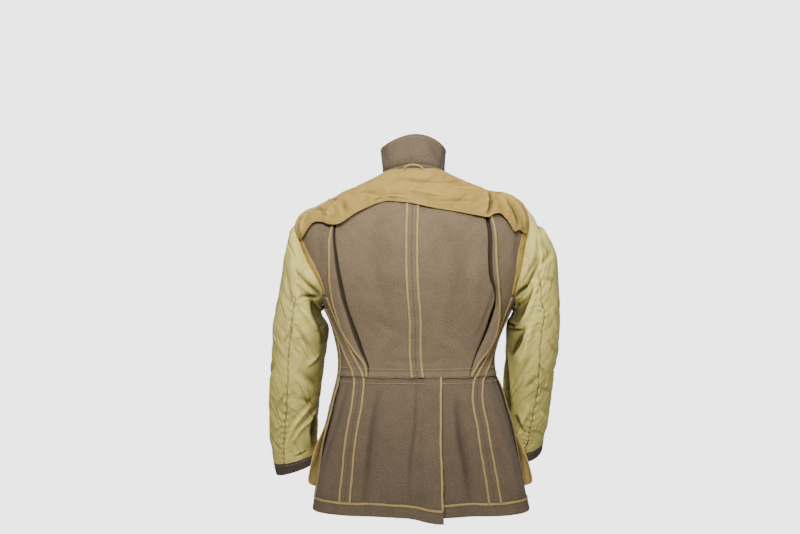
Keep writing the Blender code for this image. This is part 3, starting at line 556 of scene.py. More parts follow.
# %% A cloth material
def cloth_material(name):
    finish = FINISHES[name]
    made = bpy.data.materials.new(name)
    made.use_nodes = True
    tree = made.node_tree
    shader = tree.nodes["Principled BSDF"]
    shader.inputs["Roughness"].default_value = finish.roughness
    shader.inputs["Specular IOR Level"].default_value = finish.specular
    shader.inputs["Sheen Weight"].default_value = finish.sheen
    shader.inputs["Sheen Roughness"].default_value = 0.6

    uv = tree.nodes.new("ShaderNodeTexCoord")
    fibre = to_range(tree, noise_node(tree, uv, 0.0032, 3.0), "Fac", finish.dark, finish.light)
    patch = to_range(tree, noise_node(tree, uv, 0.022, 3.0), "Fac", 0.93, 1.06)
    fade = to_range(tree, noise_node(tree, uv, 0.120, 2.0), "Fac", 0.94, 1.05)
    # Painted light and shade: a value on each mesh darkens the colour in creases, pleats and seams and
    # lightens it on ridges.
    painted_shading = tree.nodes.new("ShaderNodeAttribute")
    painted_shading.attribute_name = "painted_shading"
    shade = to_range(tree, painted_shading, "Fac", 1.22, 0.05, -1.0, 2.0)
    tone = multiply(tree, (fibre, "Result"), (patch, "Result"))
    tone = multiply(tree, (tone, "Value"), (fade, "Result"))
    tone = multiply(tree, (tone, "Value"), (shade, "Result"))
    folds = small_folds(tree, uv) if finish.crumple else None
    if folds:
        # Painted shade in the lines of the small folds.
        darker = to_range(tree, folds, "Value", 1.0, FOLD_PAINTED_SHADE, 0.0, 1.0)
        tone = multiply(tree, (tone, "Value"), (darker, "Result"))

    colour = tree.nodes.new("ShaderNodeMix")
    colour.data_type = "RGBA"
    colour.blend_type = "MULTIPLY"
    colour.inputs[0].default_value = 1.0
    colour.inputs[6].default_value = (*finish.colour, 1.0)
    tree.links.new(tone.outputs["Value"], colour.inputs[7])
    tree.links.new(colour.outputs[2], shader.inputs["Base Color"])

    weave = tree.nodes.new("ShaderNodeTexWave")
    weave.bands_direction = "DIAGONAL"
    weave.inputs["Scale"].default_value = 0.32 / finish.weave
    weave.inputs["Distortion"].default_value = 1.5
    link(tree, uv, "UV", weave, "Vector")
    rough = noise_node(tree, uv, 1.6 * finish.weave, 2.0)
    height = multiply(tree, (weave, "Fac"), (rough, "Fac"))
    bump = tree.nodes.new("ShaderNodeBump")
    bump.inputs["Strength"].default_value = finish.bump
    bump.inputs["Distance"].default_value = 0.0006
    link(tree, height, "Value", bump, "Height")
    link(tree, bump, "Normal", shader, "Normal")
    if folds:
        crumple_bump = tree.nodes.new("ShaderNodeBump")
        crumple_bump.invert = True
        crumple_bump.inputs["Strength"].default_value = finish.crumple
        crumple_bump.inputs["Distance"].default_value = FOLD_DEPTH
        link(tree, folds, "Value", crumple_bump, "Height")
        link(tree, crumple_bump, "Normal", bump, "Normal")
    return made


MATERIALS = {name: cloth_material(name) for name in FINISHES}
print("cloth finishes:", len(MATERIALS))

# %% [markdown]
# ## Sheets of cloth
# A cut piece is flat until it is sewn and worn. So a sheet starts as a flat grid, and its vertices then
# move onto the form. A shape that is pulled out of a solid has no flat measure. This grid has one: it goes
# into the UV map, so the weave keeps one size on every piece, and it gives the size that the piece was
# cut to. A live Solidify adds the cloth's thickness.


def facing(points, middle):
    """The grid's normals, and whether they mostly point away from a middle line."""
    normals = np.cross(np.gradient(points, axis=1), np.gradient(points, axis=0))
    outward = (normals * (points - middle)).sum() > 0
    normals = normals / np.maximum(np.linalg.norm(normals, axis=-1, keepdims=True), 1e-12)
    return normals if outward else -normals, outward


def flat_measure(points):
    """Distances along the rows and columns of a grid, as the place of each point on the flat cloth."""
    across = np.linalg.norm(np.diff(points, axis=1), axis=-1)
    along = np.linalg.norm(np.diff(points, axis=0), axis=-1)
    u = np.concatenate([np.zeros((len(points), 1)), np.cumsum(across, axis=1)], axis=1)
    v = np.concatenate([np.zeros((1, points.shape[1])), np.cumsum(along, axis=0)], axis=0)
    return np.stack([u - u[:, [u.shape[1] // 2]], -v], axis=-1)


def cut_size(points):
    """Width, length and area of the flat piece that this grid was cut as."""
    measure = flat_measure(points)
    width = float(np.ptp(measure[..., 0], axis=1).max())
    length = float(np.ptp(measure[..., 1], axis=0).max())
    corner, right, below, far = points[:-1, :-1], points[:-1, 1:], points[1:, :-1], points[1:, 1:]
    one_half = np.linalg.norm(np.cross(below - corner, right - corner), axis=-1)
    other_half = np.linalg.norm(np.cross(below - far, right - far), axis=-1)
    return width, length, float(0.5 * (one_half.sum() + other_half.sum()))


test_piece = np.array([[(0.0, 0.0, 0.0), (0.1, 0.0, 0.0)], [(0.0, 0.2, 0.0), (0.1, 0.2, 0.0)]])
print("cut of a flat test piece:", cut_size(test_piece))

# %% From a grid to a piece
def grid_mesh(name, points, middle, closed=False, painted_shading=None, capped=False):
    rows, columns = points.shape[:2]
    flat = bmesh.new()
    bmesh.ops.create_grid(flat, x_segments=columns - 1, y_segments=rows - 1, size=1.0)
    data = bpy.data.meshes.new(name)
    flat.to_mesh(data)
    flat.free()
    data.vertices.foreach_set("co", points.reshape(-1))
    measure = flat_measure(points).reshape(-1, 2)
    corners = np.empty(len(data.loops), int)
    data.loops.foreach_get("vertex_index", corners)
    data.uv_layers.new(name="flat_cloth").data.foreach_set("uv", measure[corners].reshape(-1))
    if painted_shading is not None:
        data.attributes.new("painted_shading", "FLOAT", "POINT").data.foreach_set("value", painted_shading.reshape(-1))
    if not facing(points, middle)[1]:
        data.flip_normals()
    if closed:
        tube = bmesh.new()
        tube.from_mesh(data)
        bmesh.ops.remove_doubles(tube, verts=tube.verts, dist=1e-6)
        if capped:
            bmesh.ops.holes_fill(tube, edges=[edge for edge in tube.edges if edge.is_boundary])
        bmesh.ops.recalc_face_normals(tube, faces=tube.faces)
        tube.to_mesh(data)
        tube.free()
    data.shade_smooth()
    return data


def place(data, finish, nodes=()):
    """Links a mesh as a piece of the jacket and hides the CAD nodes that it stands for."""
    data.materials.append(MATERIALS[finish])
    piece = bpy.data.objects.new(data.name, data)
    bpy.context.scene.collection.objects.link(piece)
    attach(piece, "root")
    if nodes:
        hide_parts(*nodes)
    return piece

# %% Thickness and cut
AXIS = np.array([0.01, 0.0, 0.0])
UPRIGHT = np.array([1.0, 1.0, 0.0])


def cloth(name, points, finish, thick, nodes=(), painted_shading=None, middle=None, closed=False):
    """One sheet with thickness, facing away from the body's axis or a given middle line."""
    middle = points * (1 - UPRIGHT) + AXIS if middle is None else middle
    piece = place(grid_mesh(f"{name}_cloth", points, middle, closed, painted_shading), finish, nodes)
    solid = piece.modifiers.new("thickness", "SOLIDIFY")
    solid.thickness = thick
    solid.offset = -1.0
    return piece


print("thickness of wool and lining:", WOOL, LINING)

# %% [markdown]
# ## Tapes and threads
# A bound edge is a folded bias tape with a rounded edge, and a row of stitches is one thread that dips
# through the cloth and comes back. A curve with a bevel could make both. A closed tube of faces is used
# instead, because it can be flat or round and can carry painted shade on its sides, where they meet the
# cloth. Both follow a path on a skin: a function that gives a place on the cloth, moved out by any amount.

# %% Ribbons and stitched threads
RIBBON_SIDES = 10
THREAD_SIDES = 4
THREAD_RADIUS = 0.00032
STITCH = 0.0040
TAPE_SHADE = 0.9
POINTS_A_STITCH = 4


def follow(skin, first, second, out):
    """Places, across directions and normals along a path on a skin."""
    centres = skin(first, second, out)
    normals = skin(first, second, np.asarray(out) + 0.001) - centres
    normals /= np.linalg.norm(normals, axis=-1, keepdims=True)
    across = np.cross(np.gradient(centres, axis=0), normals)
    across /= np.linalg.norm(across, axis=-1, keepdims=True)
    return centres, across, normals


def tube(name, path, width, height, sides, squareness):
    """A closed tube along a path, flat or round, standing on the path."""
    centres, across, normals = path
    turns = np.linspace(0.0, 2 * np.pi, sides + 1)
    flat = np.sign(np.cos(turns)) * np.abs(np.cos(turns)) ** squareness
    tall = np.sign(np.sin(turns)) * np.abs(np.sin(turns)) ** squareness + 1.0
    width, height = np.broadcast_to(width, len(centres)), np.broadcast_to(height, len(centres))
    points = (centres[:, None] + across[:, None] * (flat * width[:, None] / 2)[..., None]
              + normals[:, None] * (tall * height[:, None] / 2)[..., None])
    # Painted shade on the tube's sides, where they meet the cloth.
    painted_side_shade = np.broadcast_to(TAPE_SHADE * np.abs(flat) ** 4, points.shape[:2])
    return grid_mesh(name, points, centres[:, None], closed=True, painted_shading=painted_side_shade, capped=True)


def stitches(name, centres, normals, finish="thread", radius=THREAD_RADIUS):
    """One thread along a path: over the cloth for half of each stitch and under it for the rest."""
    walked = np.concatenate([[0.0], np.cumsum(np.linalg.norm(np.diff(centres, axis=0), axis=-1))])
    at = np.arange(0.0, walked[-1], STITCH / POINTS_A_STITCH)
    centres = np.stack([np.interp(at, walked, centres[:, axis]) for axis in range(3)], axis=-1)
    normals = np.stack([np.interp(at, walked, normals[:, axis]) for axis in range(3)], axis=-1)
    normals /= np.linalg.norm(normals, axis=-1, keepdims=True)
    across = np.cross(np.gradient(centres, axis=0), normals)
    across /= np.linalg.norm(across, axis=-1, keepdims=True)
    wave = np.sin(2 * np.pi * np.arange(len(centres)) / POINTS_A_STITCH + 0.4)
    centres = centres + normals * (1.2 * radius * wave - radius)[:, None]
    data = tube(name, (centres, across, normals), 2 * radius, 2 * radius, THREAD_SIDES, 1.0)
    return place(data, finish)


def binding(name, skin, first, second, out, nodes, height=TAPE_HEIGHT, sewn=1.0):
    """Bias tape along a path, a little uneven as hand-folded tape is, with its row of stitches."""
    centres, across, normals = follow(skin, first, second, out)
    walked = np.concatenate([[0.0], np.cumsum(np.linalg.norm(np.diff(centres, axis=0), axis=-1))])
    uneven = 0.6 * np.sin(walked / 0.0071 + 1.0) + 0.4 * np.sin(walked / 0.0027)
    wander = 0.00045 * np.sin(walked / 0.019) + 0.0002 * np.sin(walked / 0.0063)
    centres = centres + across * wander[:, None]
    data = tube(f"{name}_tape", (centres, across, normals), TAPE_WIDTH * (1 + 0.07 * uneven),
                height * (1 + 0.10 * uneven), RIBBON_SIDES, 0.65)
    row = centres + across * (0.24 * sewn * TAPE_WIDTH) + normals * 0.97 * height
    return [place(data, "binding", nodes), stitches(f"{name}_stitches", row, normals)]


print("tape width and stitch length:", TAPE_WIDTH, STITCH)

# %% [markdown]
# ## Panels
# A wool panel is more than a patch of the form: its edges roll, step over a layer below or run under a
# neighbour, and its hem turns back up. Each of these could be modelled by hand on every piece. Here a
# panel is described by stations across it instead, each a line on the body and a lift off it, with a
# number of columns up to the next. That is enough for all of them, and it reads like a pattern.

# %% Panel grids
Station = namedtuple("Station", "angle out columns")
ROW = 0.0033


def station_grid(stations, levels):
    """Angles and lifts of a panel, a row for each level."""
    angles, outs = [], []
    for first, second in zip(stations, stations[1:]):
        for share in np.arange(first.columns) / first.columns:
            angles.append(first.angle(levels) * (1 - share) + second.angle(levels) * share)
            outs.append(np.broadcast_to(first.out * (1 - share) + second.out * share, levels.shape))
    angles.append(stations[-1].angle(levels))
    outs.append(np.broadcast_to(stations[-1].out, levels.shape))
    return np.stack(angles, axis=1), np.stack(outs, axis=1)


def rows_between(top, bottom):
    return np.linspace(top, bottom, int(round((top - bottom) / ROW)) + 1)


def hem_rows(top):
    """Levels and lifts of a panel whose hem is turned up on its outside."""
    down = rows_between(top, HEM + 0.0016)
    turn = np.array([HEM + 0.0008, HEM + 0.0002, HEM, HEM + 0.0002, HEM + 0.0008])
    turn_out = np.array([0.00002, 0.0001, 0.0003, 0.0005, 0.0006])
    up = HEM + np.linspace(0.0016, HEM_TURN, 9)
    levels = np.concatenate([down, turn, up])
    return levels, np.concatenate([np.zeros(len(down)), turn_out, np.full(len(up), 0.0006)])


def waist_step(levels):
    """The upper panels lap over the top of the skirt at the waist seam."""
    return 0.0018 * ease((WAIST + 0.008 - levels) / 0.009)


def wool_panel(name, stations, levels, nodes, finish="wool", row_out=0.0, shift=None):
    angles, outs = station_grid(stations, levels)
    levels = np.broadcast_to(levels[:, None], angles.shape)
    outs = outs + np.broadcast_to(np.asarray(row_out)[..., None], angles.shape)
    if shift is not None:
        levels, outs = shift(angles, levels, outs)
    points = body_skin(angles, levels, outs)
    # Painted shade where the cloth sinks below the form, as in the depth of a pleat.
    painted_sunk_shade = 1.55 * ease((-outs - 0.0010) / 0.0030)
    return cloth(name, points, finish, WOOL, nodes, wool_painted_shade(angles, levels) + painted_sunk_shade)


def allowance(name, seam, direction, levels, base=0.0, finish="wool", wider=0.0, raised=0.0):
    """The pressed-open edge of a panel beside its seam. It lies back on the panel or stands off it."""
    places = ((0.0, 0.0004, 2), (0.0010, 0.0012, 2), (0.0030, 0.0015, 6), (ALLOWANCE, 0.0016, 0))
    stations = []
    for gap, out, columns in places:
        share = gap / ALLOWANCE
        edge = aside(seam, direction * (gap + wider * share))
        stations.append(Station(edge, base + out + raised * share, columns))
    return wool_panel(name, stations, levels, (), finish)


print("rows from neck to waist:", len(rows_between(NECK, WAIST)))

# %% [markdown]
# ## The centre backs and their pleats
# Two halves meet at the centre back, where their edges are pressed open and bound. Each half ends at a
# pleat. There the wool rolls over and runs in under itself, and beside it a second strip rises from the
# depth of the pleat to a bound edge. A dark line on the wool would look right from one place only. The
# roll and the strip leave a real gap, so the shadow in it is real from all sides, and painted shade on
# the cloth that sinks into the gap darkens it further.

# %% Centre back halves
PIECES = {}


def back_half(side):
    name = f"back_{side_name(side)}"
    fold = line(PLEAT_FOLD, side)
    levels = rows_between(NECK, WAIST_LAP)
    roll = ((-0.0035, 0.0, 3), (-0.0008, -0.0007, 2), (0.0, -0.0024, 2), (-0.0012, -0.0043, 2),
            (-0.0060, -0.0056, 3), (-0.0130, -0.0060, 0))
    stations = [Station(centre_seam, SEAM_DIP, 2),
                Station(aside(centre_seam, side * SEAM_EDGE), 0.0, 44)]
    stations += [Station(aside(fold, side * gap), out, columns) for gap, out, columns in roll]
    PIECES[name] = wool_panel(name, stations, levels, [name], row_out=waist_step(levels))
    edge = allowance(f"{name}_allowance", centre_seam, side, levels, waist_step(levels))
    bound = aside(centre_seam, side * (ALLOWANCE - TAPE_WIDTH / 3))
    tape = binding(f"centre_binding_{side_name(side)}", body_skin, bound(levels), levels,
                   0.0004 + waist_step(levels), [f"centre_binding_{side_name(side)}"])


for side in (-1, 1):
    back_half(side)

# %% [markdown]
# ## Pleat strips
# The strip beside the centre back carries the pleat's bound edge. On the left it lies flat. On the right
# it stands up by a centimetre and a slit opens beside it, through which the dark inside shows; painted
# shade on the sunken part of the strip darkens the slit further. It could be one sheet with the centre
# back, folded twice. Two sheets that meet in the depth of the pleat are simpler, and each keeps an even
# grid.

# %% Pleat strips
Gap = namedtuple("Gap", "level left right left_lift right_lift")
PLEAT_GAP = [
    Gap(0.009, 0.0010, 0.0010, 0.0012, 0.0012),
    Gap(-0.110, 0.0034, 0.0090, 0.0018, 0.0026),
    Gap(-0.160, 0.0064, 0.0110, 0.0026, 0.0042),
    Gap(-0.220, 0.0100, 0.0100, 0.0038, 0.0062),
    Gap(-0.262, 0.0118, 0.0060, 0.0046, 0.0078),
    Gap(-0.310, 0.0112, 0.0095, 0.0050, 0.0115),
    Gap(-0.338, 0.0138, 0.0090, 0.0050, 0.0130),
    Gap(-0.375, 0.0118, 0.0060, 0.0046, 0.0100),
    Gap(-0.405, 0.0048, 0.0032, 0.0036, 0.0052),
    Gap(-0.432, 0.0010, 0.0010, 0.0030, 0.0030),
]
SLIT_TOP, SLIT_BOTTOM, SLIT_FADE = -0.258, -0.412, 0.02
PLEAT_TAPE = 0.0027


def pleat_strip(side):
    name = f"pleat_{side_name(side)}"
    fold, bound = line(PLEAT_FOLD, side), line(PLEAT_BOUND, side)
    levels = rows_between(-0.085, WAIST_LAP)
    lift = smooth(PLEAT_GAP, f"{side_name(side)}_lift", levels)
    gap = smooth(PLEAT_GAP, side_name(side), levels)
    width = np.linalg.norm(plain_point(bound(levels), levels) - plain_point(fold(levels), levels), axis=-1)
    mouth = np.clip(gap, 0.15 * width, 0.86 * width)
    open_slit = np.zeros(len(levels))
    if side > 0:
        open_slit = ease((SLIT_TOP - levels) / SLIT_FADE) * ease((levels - SLIT_BOTTOM) / SLIT_FADE)
    start = -0.009 * (1 - open_slit) + 0.96 * mouth * open_slit
    rest = width - mouth
    stations = [
        Station(aside(fold, side * start), -0.0115 * (1 - open_slit) - 0.0030 * open_slit, 4),
        Station(aside(fold, side * (0.80 * mouth + 0.18 * mouth * open_slit)),
                -0.0095 * (1 - open_slit) - 0.0016 * open_slit, 4),
        Station(aside(fold, side * mouth), 0.0 * lift - 0.0004, 3),
        Station(aside(fold, side * (mouth + 0.25 * rest)), 0.55 * lift, 8),
        Station(aside(fold, side * (mouth + 0.9 * rest)), lift, 3),
        Station(bound, lift, 0),
    ]
    PIECES[name] = wool_panel(name, stations, levels, ())
    bound_levels = levels[levels < -0.105]
    bound_lift = smooth(PLEAT_GAP, f"{side_name(side)}_lift", bound_levels)
    node = f"pleat_binding_{side_name(side)}"
    tape = binding(node, body_skin, bound(bound_levels), bound_levels, bound_lift - 0.0017, [node],
                   height=PLEAT_TAPE)


for side in (-1, 1):
    pleat_strip(side)

# %% [markdown]
# ## Side backs
# The side back runs from under the pleat strip to the armhole, and below the armhole to its own bound
# seam. It laps over the skirt at the waist. Its seam allowance could be extruded from the panel's edge. It
# is a second, narrow sheet that lies on the panel, because then it has an edge and a thickness of its own.

# %% Side backs
def seam_allowance(seam, direction, levels, node, base=0.0, finish="wool", wider=0.0, raised=0.0):
    """An allowance beside a seam with the bound edge that stands for a CAD node."""
    edge = allowance(f"{node}_allowance", seam, direction, levels, base, finish, wider, raised)
    bound = aside(seam, direction * (ALLOWANCE + wider - TAPE_WIDTH / 3))
    return [edge, *binding(node, body_skin, bound(levels), levels, 0.0004 + base + raised, [node])]


def side_back(side):
    name = f"side_back_{side_name(side)}"
    fold, bound, edge = line(PLEAT_FOLD, side), line(PLEAT_BOUND, side), back_outer_edge(side)
    levels = rows_between(NECK, WAIST_LAP)
    stations = [
        Station(between(fold, bound, 0.62), -0.0008, 6),
        Station(between(bound, edge, 0.05), 0.0, 26),
        Station(aside(edge, -side * SEAM_EDGE), 0.0, 2),
        Station(edge, SEAM_DIP, 0),
    ]
    PIECES[name] = wool_panel(name, stations, levels, [name], row_out=waist_step(levels))
    below = rows_between(ARM_JOINT - 0.004, WAIST_LAP)
    node = f"side_back_binding_{side_name(side)}_inner"
    seam_allowance(edge, -side, below, node, waist_step(below))


for side in (-1, 1):
    side_back(side)

# %% [markdown]
# ## Underarm panels
# A narrow panel under each arm joins the side back to the front. Its top is hollowed out for the armhole.
# Cutting that curve with a boolean would break its grid, so the rows are moved down to the curve instead,
# while the lowest row stays straight at the waist. The top reaches a little way into the sleeve, to leave
# no gap in the armpit.

# %% Underarm panels
UNDERARM_RISE = 0.007


def underarm(side):
    name = f"side_{side_name(side)}"
    seam, side_seam = line(SIDE_BACK_SEAM, side), fixed(side * SIDE_SEAMS[side])
    levels = rows_between(ARM_JOINT, WAIST_LAP)
    hole_levels, hole_angles = armhole_curve(side, np.linspace(0.8, 1.0, 81))

    def below_armhole(angles, levels, outs):
        """Takes the top edge down to the curve of the armhole."""
        top = np.interp(np.abs(angles[0]), hole_angles, hole_levels) + UNDERARM_RISE
        share = (ARM_JOINT - levels) / (ARM_JOINT - WAIST)
        return levels + (top - ARM_JOINT) * (1 - share), outs

    stations = [
        Station(seam, SEAM_DIP, 2),
        Station(aside(seam, side * SEAM_EDGE), 0.0, 20),
        Station(aside(side_seam, -side * SEAM_EDGE), 0.0, 2),
        Station(side_seam, SEAM_DIP, 0),
    ]
    PIECES[name] = wool_panel(name, stations, levels, [name], row_out=waist_step(levels),
                              shift=below_armhole)
    below = rows_between(ARM_BOTTOM - 0.006, WAIST_LAP)
    base = waist_step(below)
    parts = seam_allowance(seam, side, below, f"side_back_binding_{side_name(side)}_outer", base)
    parts += seam_allowance(side_seam, -side, below, f"side_binding_{side_name(side)}_back", base)


for side in (-1, 1):
    underarm(side)

# %% [markdown]
# ## Fronts
# The fronts can't be seen from behind, so they are finished plainly: one piece each from shoulder to hem,
# the left over the right at the centre. Darts and facings could be added, but they would be inventions.
# The lap is a step in the left panel, and the hem is turned up like the rest of the skirt.

# %% Fronts
CENTRE_FRONT = 180.0
FRONT_LAP = 5.5
LAYER = 0.0042


def front(side):
    name = f"front_{side_name(side)}"
    edge = front_outer_edge(side)
    lap = LAYER if side < 0 else 0.0
    stations = [
        Station(edge, SEAM_DIP, 2),
        Station(aside(edge, side * SEAM_EDGE), 0.0, 34),
        Station(fixed(side * (CENTRE_FRONT - FRONT_LAP - 8.0)), 0.0, 4),
        Station(fixed(side * (CENTRE_FRONT - FRONT_LAP - 2.0)), lap, 6),
        Station(fixed(side * (CENTRE_FRONT + FRONT_LAP)), lap, 0),
    ]
    levels, row_out = hem_rows(NECK)
    PIECES[name] = wool_panel(name, stations, levels, [name], row_out=row_out)
    below = rows_between(ARM_BOTTOM - 0.006, HEM + HEM_TURN)
    seam = fixed(side * SIDE_SEAMS[side])
    node = f"side_binding_{side_name(side)}_front"
    seam_allowance(seam, side, below, node)


for side in (-1, 1):
    front(side)

# %% [markdown]
# ## The waist seam
# The upper panels lap over the skirt and their lower edge is turned in, so it is a thin roll of wool. Two
# rows of stitches hold the lap, one above the edge and one below, and show as faint light lines. A bump
# could draw them. They are real threads here, because threads catch light from the side.

# %% Waist stitching
WAIST_ROWS = (WAIST + 0.0135, WAIST - 0.0165)
waist_angles = np.arange(-SIDE_SEAMS[-1] + 1.0, SIDE_SEAMS[1] - 1.0, 0.8)
waist_parts = []
for number, level in enumerate(WAIST_ROWS, start=1):
    centres, _, normals = follow(body_skin, waist_angles, np.full(len(waist_angles), level), 0.0008)
    waist_parts.append(stitches(f"waist_stitches_{number}", centres, normals, radius=0.00055))
edge_level = WAIST_LAP + 0.0008 * np.sin(waist_angles / 3.1)
edge_path = follow(body_skin, waist_angles, edge_level, 0.0004)
waist_parts.append(place(tube("waist_edge", edge_path, 0.0026, 0.0022, RIBBON_SIDES, 0.9), "wool"))
print("waist seam:", [piece.name for piece in waist_parts])

# %% [markdown]
# ## The vent
# Four panels hang from the waist seam. The left back half ends at a bound vent edge and laps over the
# right half, and its corner swings out and down. A lattice or a shape key could pull the corner out. One
# function that moves the rows near the vent does it for the cloth and for its tapes alike.

# %% The vent
VENT_UNDERLAP = 9.0
VENT_DROP = 0.010
VENT_SWING = 0.010
VENT_LAP = 0.0070
vent = line(VENT_EDGE, 1)
skirt_top = WAIST + 0.006


def vent_hang(angles, levels, outs):
    """The free corner of the left half swings out and hangs lower."""
    near = ease(1.0 - (vent(levels) - angles) / 20.0)
    drop = ease((WAIST - levels) / (WAIST - HEM)) ** 2
    below = ease((WAIST - levels) / 0.03)
    lap = VENT_LAP * ease(1.0 - (vent(levels) - angles - VENT_UNDERLAP) / 5.0) * below
    return levels - VENT_DROP * drop * near, outs + lap + VENT_SWING * drop * near


print("vent edge at the hem, degrees:", round(float(vent(np.array(HEM))), 1))

# %% [markdown]
# ## Hem tapes
# The hem is turned up on the outside, because the jacket is inside out, and its raw edge is bound with
# tape from the vent round to the front edge. The tape could be part of each skirt panel, in a second
# material. As a ribbon of its own it crosses the seams in one length, as the real one does.

# %% Hem tapes
HEM_TAPE = 0.0026


def hem_tape(side):
    """Tape along the top of the turned-up hem, from the vent round to the front edge."""
    start = float(vent(np.array(HEM + HEM_TURN))) - (0.5 if side < 0 else VENT_UNDERLAP - 0.5)
    stop = side * (CENTRE_FRONT + FRONT_LAP - 0.5)
    angles = np.arange(start, stop, side * 1.2)
    levels = np.full(len(angles), HEM + HEM_TURN - TAPE_WIDTH / 3)
    outs = np.zeros(len(angles))
    if side < 0:
        levels, outs = vent_hang(angles, levels, outs)
        lapped = ease((-angles - (CENTRE_FRONT - FRONT_LAP - 8.0)) / 6.0)
        outs = outs + LAYER * lapped
    node = f"hem_binding_{side_name(side)}"
    return binding(node, body_skin, angles, levels, outs + 0.0002, [node], height=HEM_TAPE)


print("height of the turned-up hem:", HEM_TURN)

# %% [markdown]
# ## Skirt panels
# Two back halves and two side panels make the skirt, each with bound seam allowances. The edges of the
# side seams don't lie flat: below the waist they stand off the cloth and leave a dark gap. They could be
# bent up by hand in edit mode. The allowance sheet takes a reach and a lift that fade along the seam
# instead, so both sides are made in one way.

# %% Skirt halves and sides
VENT_TAPE = 0.0030
FLAP_END = -0.640
# How far the edge of each side seam reaches beyond its allowance, and stands off
SIDE_FLAP = {-1: (0.0130, 0.0065), 1: (0.0050, 0.0045)}


def skirt_back(side):
    name = f"skirt_back_{side_name(side)}"
    seam = line(SIDE_BACK_SEAM, side)
    inner = vent if side < 0 else moved(vent, -VENT_UNDERLAP)
    levels, row_out = hem_rows(skirt_top)
    stations = [
        Station(inner, 0.0, 76),
        Station(aside(seam, -side * SEAM_EDGE), 0.0, 2),
        Station(seam, SEAM_DIP, 0),
    ]
    hang = vent_hang if side < 0 else None
    PIECES[name] = wool_panel(name, stations, levels, [name], "skirt_wool_painted_shade", row_out, hang)
    rows = rows_between(WAIST - 0.002, HEM + HEM_TURN - 0.002)
    node = f"side_back_skirt_binding_{side_name(side)}_inner"
    parts = seam_allowance(seam, -side, rows, node, finish="skirt_wool_painted_shade") + hem_tape(side)
    if side < 0:
        parts += waist_parts
        edge = aside(vent, -TAPE_WIDTH / 3)(rows)
        low, out = vent_hang(edge, rows, np.zeros(len(rows)))
        parts += binding("vent_binding", body_skin, edge, low, out - 0.0014, ["vent_binding"],
                         height=VENT_TAPE)


def skirt_side(side):
    name = f"skirt_side_{side_name(side)}"
    seam, side_seam = line(SIDE_BACK_SEAM, side), fixed(side * SIDE_SEAMS[side])
    levels, row_out = hem_rows(skirt_top)
    stations = [
        Station(seam, SEAM_DIP, 2),
        Station(aside(seam, side * SEAM_EDGE), 0.0, 28),
        Station(aside(side_seam, -side * SEAM_EDGE), 0.0, 2),
        Station(side_seam, SEAM_DIP, 0),
    ]
    PIECES[name] = wool_panel(name, stations, levels, [name], "skirt_wool_painted_shade", row_out)
    rows = rows_between(WAIST - 0.002, HEM + HEM_TURN - 0.002)
    node = f"side_back_skirt_binding_{side_name(side)}_outer"
    parts = seam_allowance(seam, side, rows, node, finish="skirt_wool_painted_shade")
    node = f"side_skirt_binding_{side_name(side)}"
    free = ease((WAIST - rows) / 0.030) * ease((rows - FLAP_END) / 0.090)
    wider, raised = (amount * free for amount in SIDE_FLAP[side])
    parts += seam_allowance(side_seam, -side, rows, node, 0.0, "skirt_wool_painted_shade", wider, raised)


for side in (-1, 1):
    skirt_back(side)
    skirt_side(side)

# %% [markdown]
# ## The shoulder lining
# A loose cotton piece lies over the shoulders. It is sewn only at the neck and armholes, so its hemmed
# lower edge hangs free and waves. A simulation that lets it drop would give other waves than these. So it
# is one sheet whose lower edge follows a table and whose last rows turn under for the hem, with long
# shallow creases over the back and deep ones where it bunches at the right shoulder.

# %% Shoulder lining
YokeEdge = namedtuple("YokeEdge", "angle level")
YOKE_EDGE = [
    YokeEdge(-122.0, -0.030),
    YokeEdge(-106.0, -0.095),
    YokeEdge(-90.0, -0.137),
    YokeEdge(-77.0, -0.160),
    YokeEdge(-66.0, -0.164),
    YokeEdge(-60.0, -0.152),
    YokeEdge(-55.0, -0.128),
    YokeEdge(-49.0, -0.121),
    YokeEdge(-43.0, -0.125),
    YokeEdge(-36.0, -0.118),
    YokeEdge(-31.0, -0.094),
    YokeEdge(-27.0, -0.080),
    YokeEdge(-22.0, -0.068),
    YokeEdge(-6.0, -0.065),
    YokeEdge(8.0, -0.075),
    YokeEdge(24.0, -0.092),
    YokeEdge(32.5, -0.107),
    YokeEdge(38.0, -0.116),
    YokeEdge(43.0, -0.113),
    YokeEdge(46.5, -0.122),
    YokeEdge(48.5, -0.146),
    YokeEdge(55.0, -0.158),
    YokeEdge(64.0, -0.166),
    YokeEdge(75.0, -0.120),
    YokeEdge(90.0, -0.092),
    YokeEdge(106.0, -0.068),
    YokeEdge(122.0, -0.024),
]
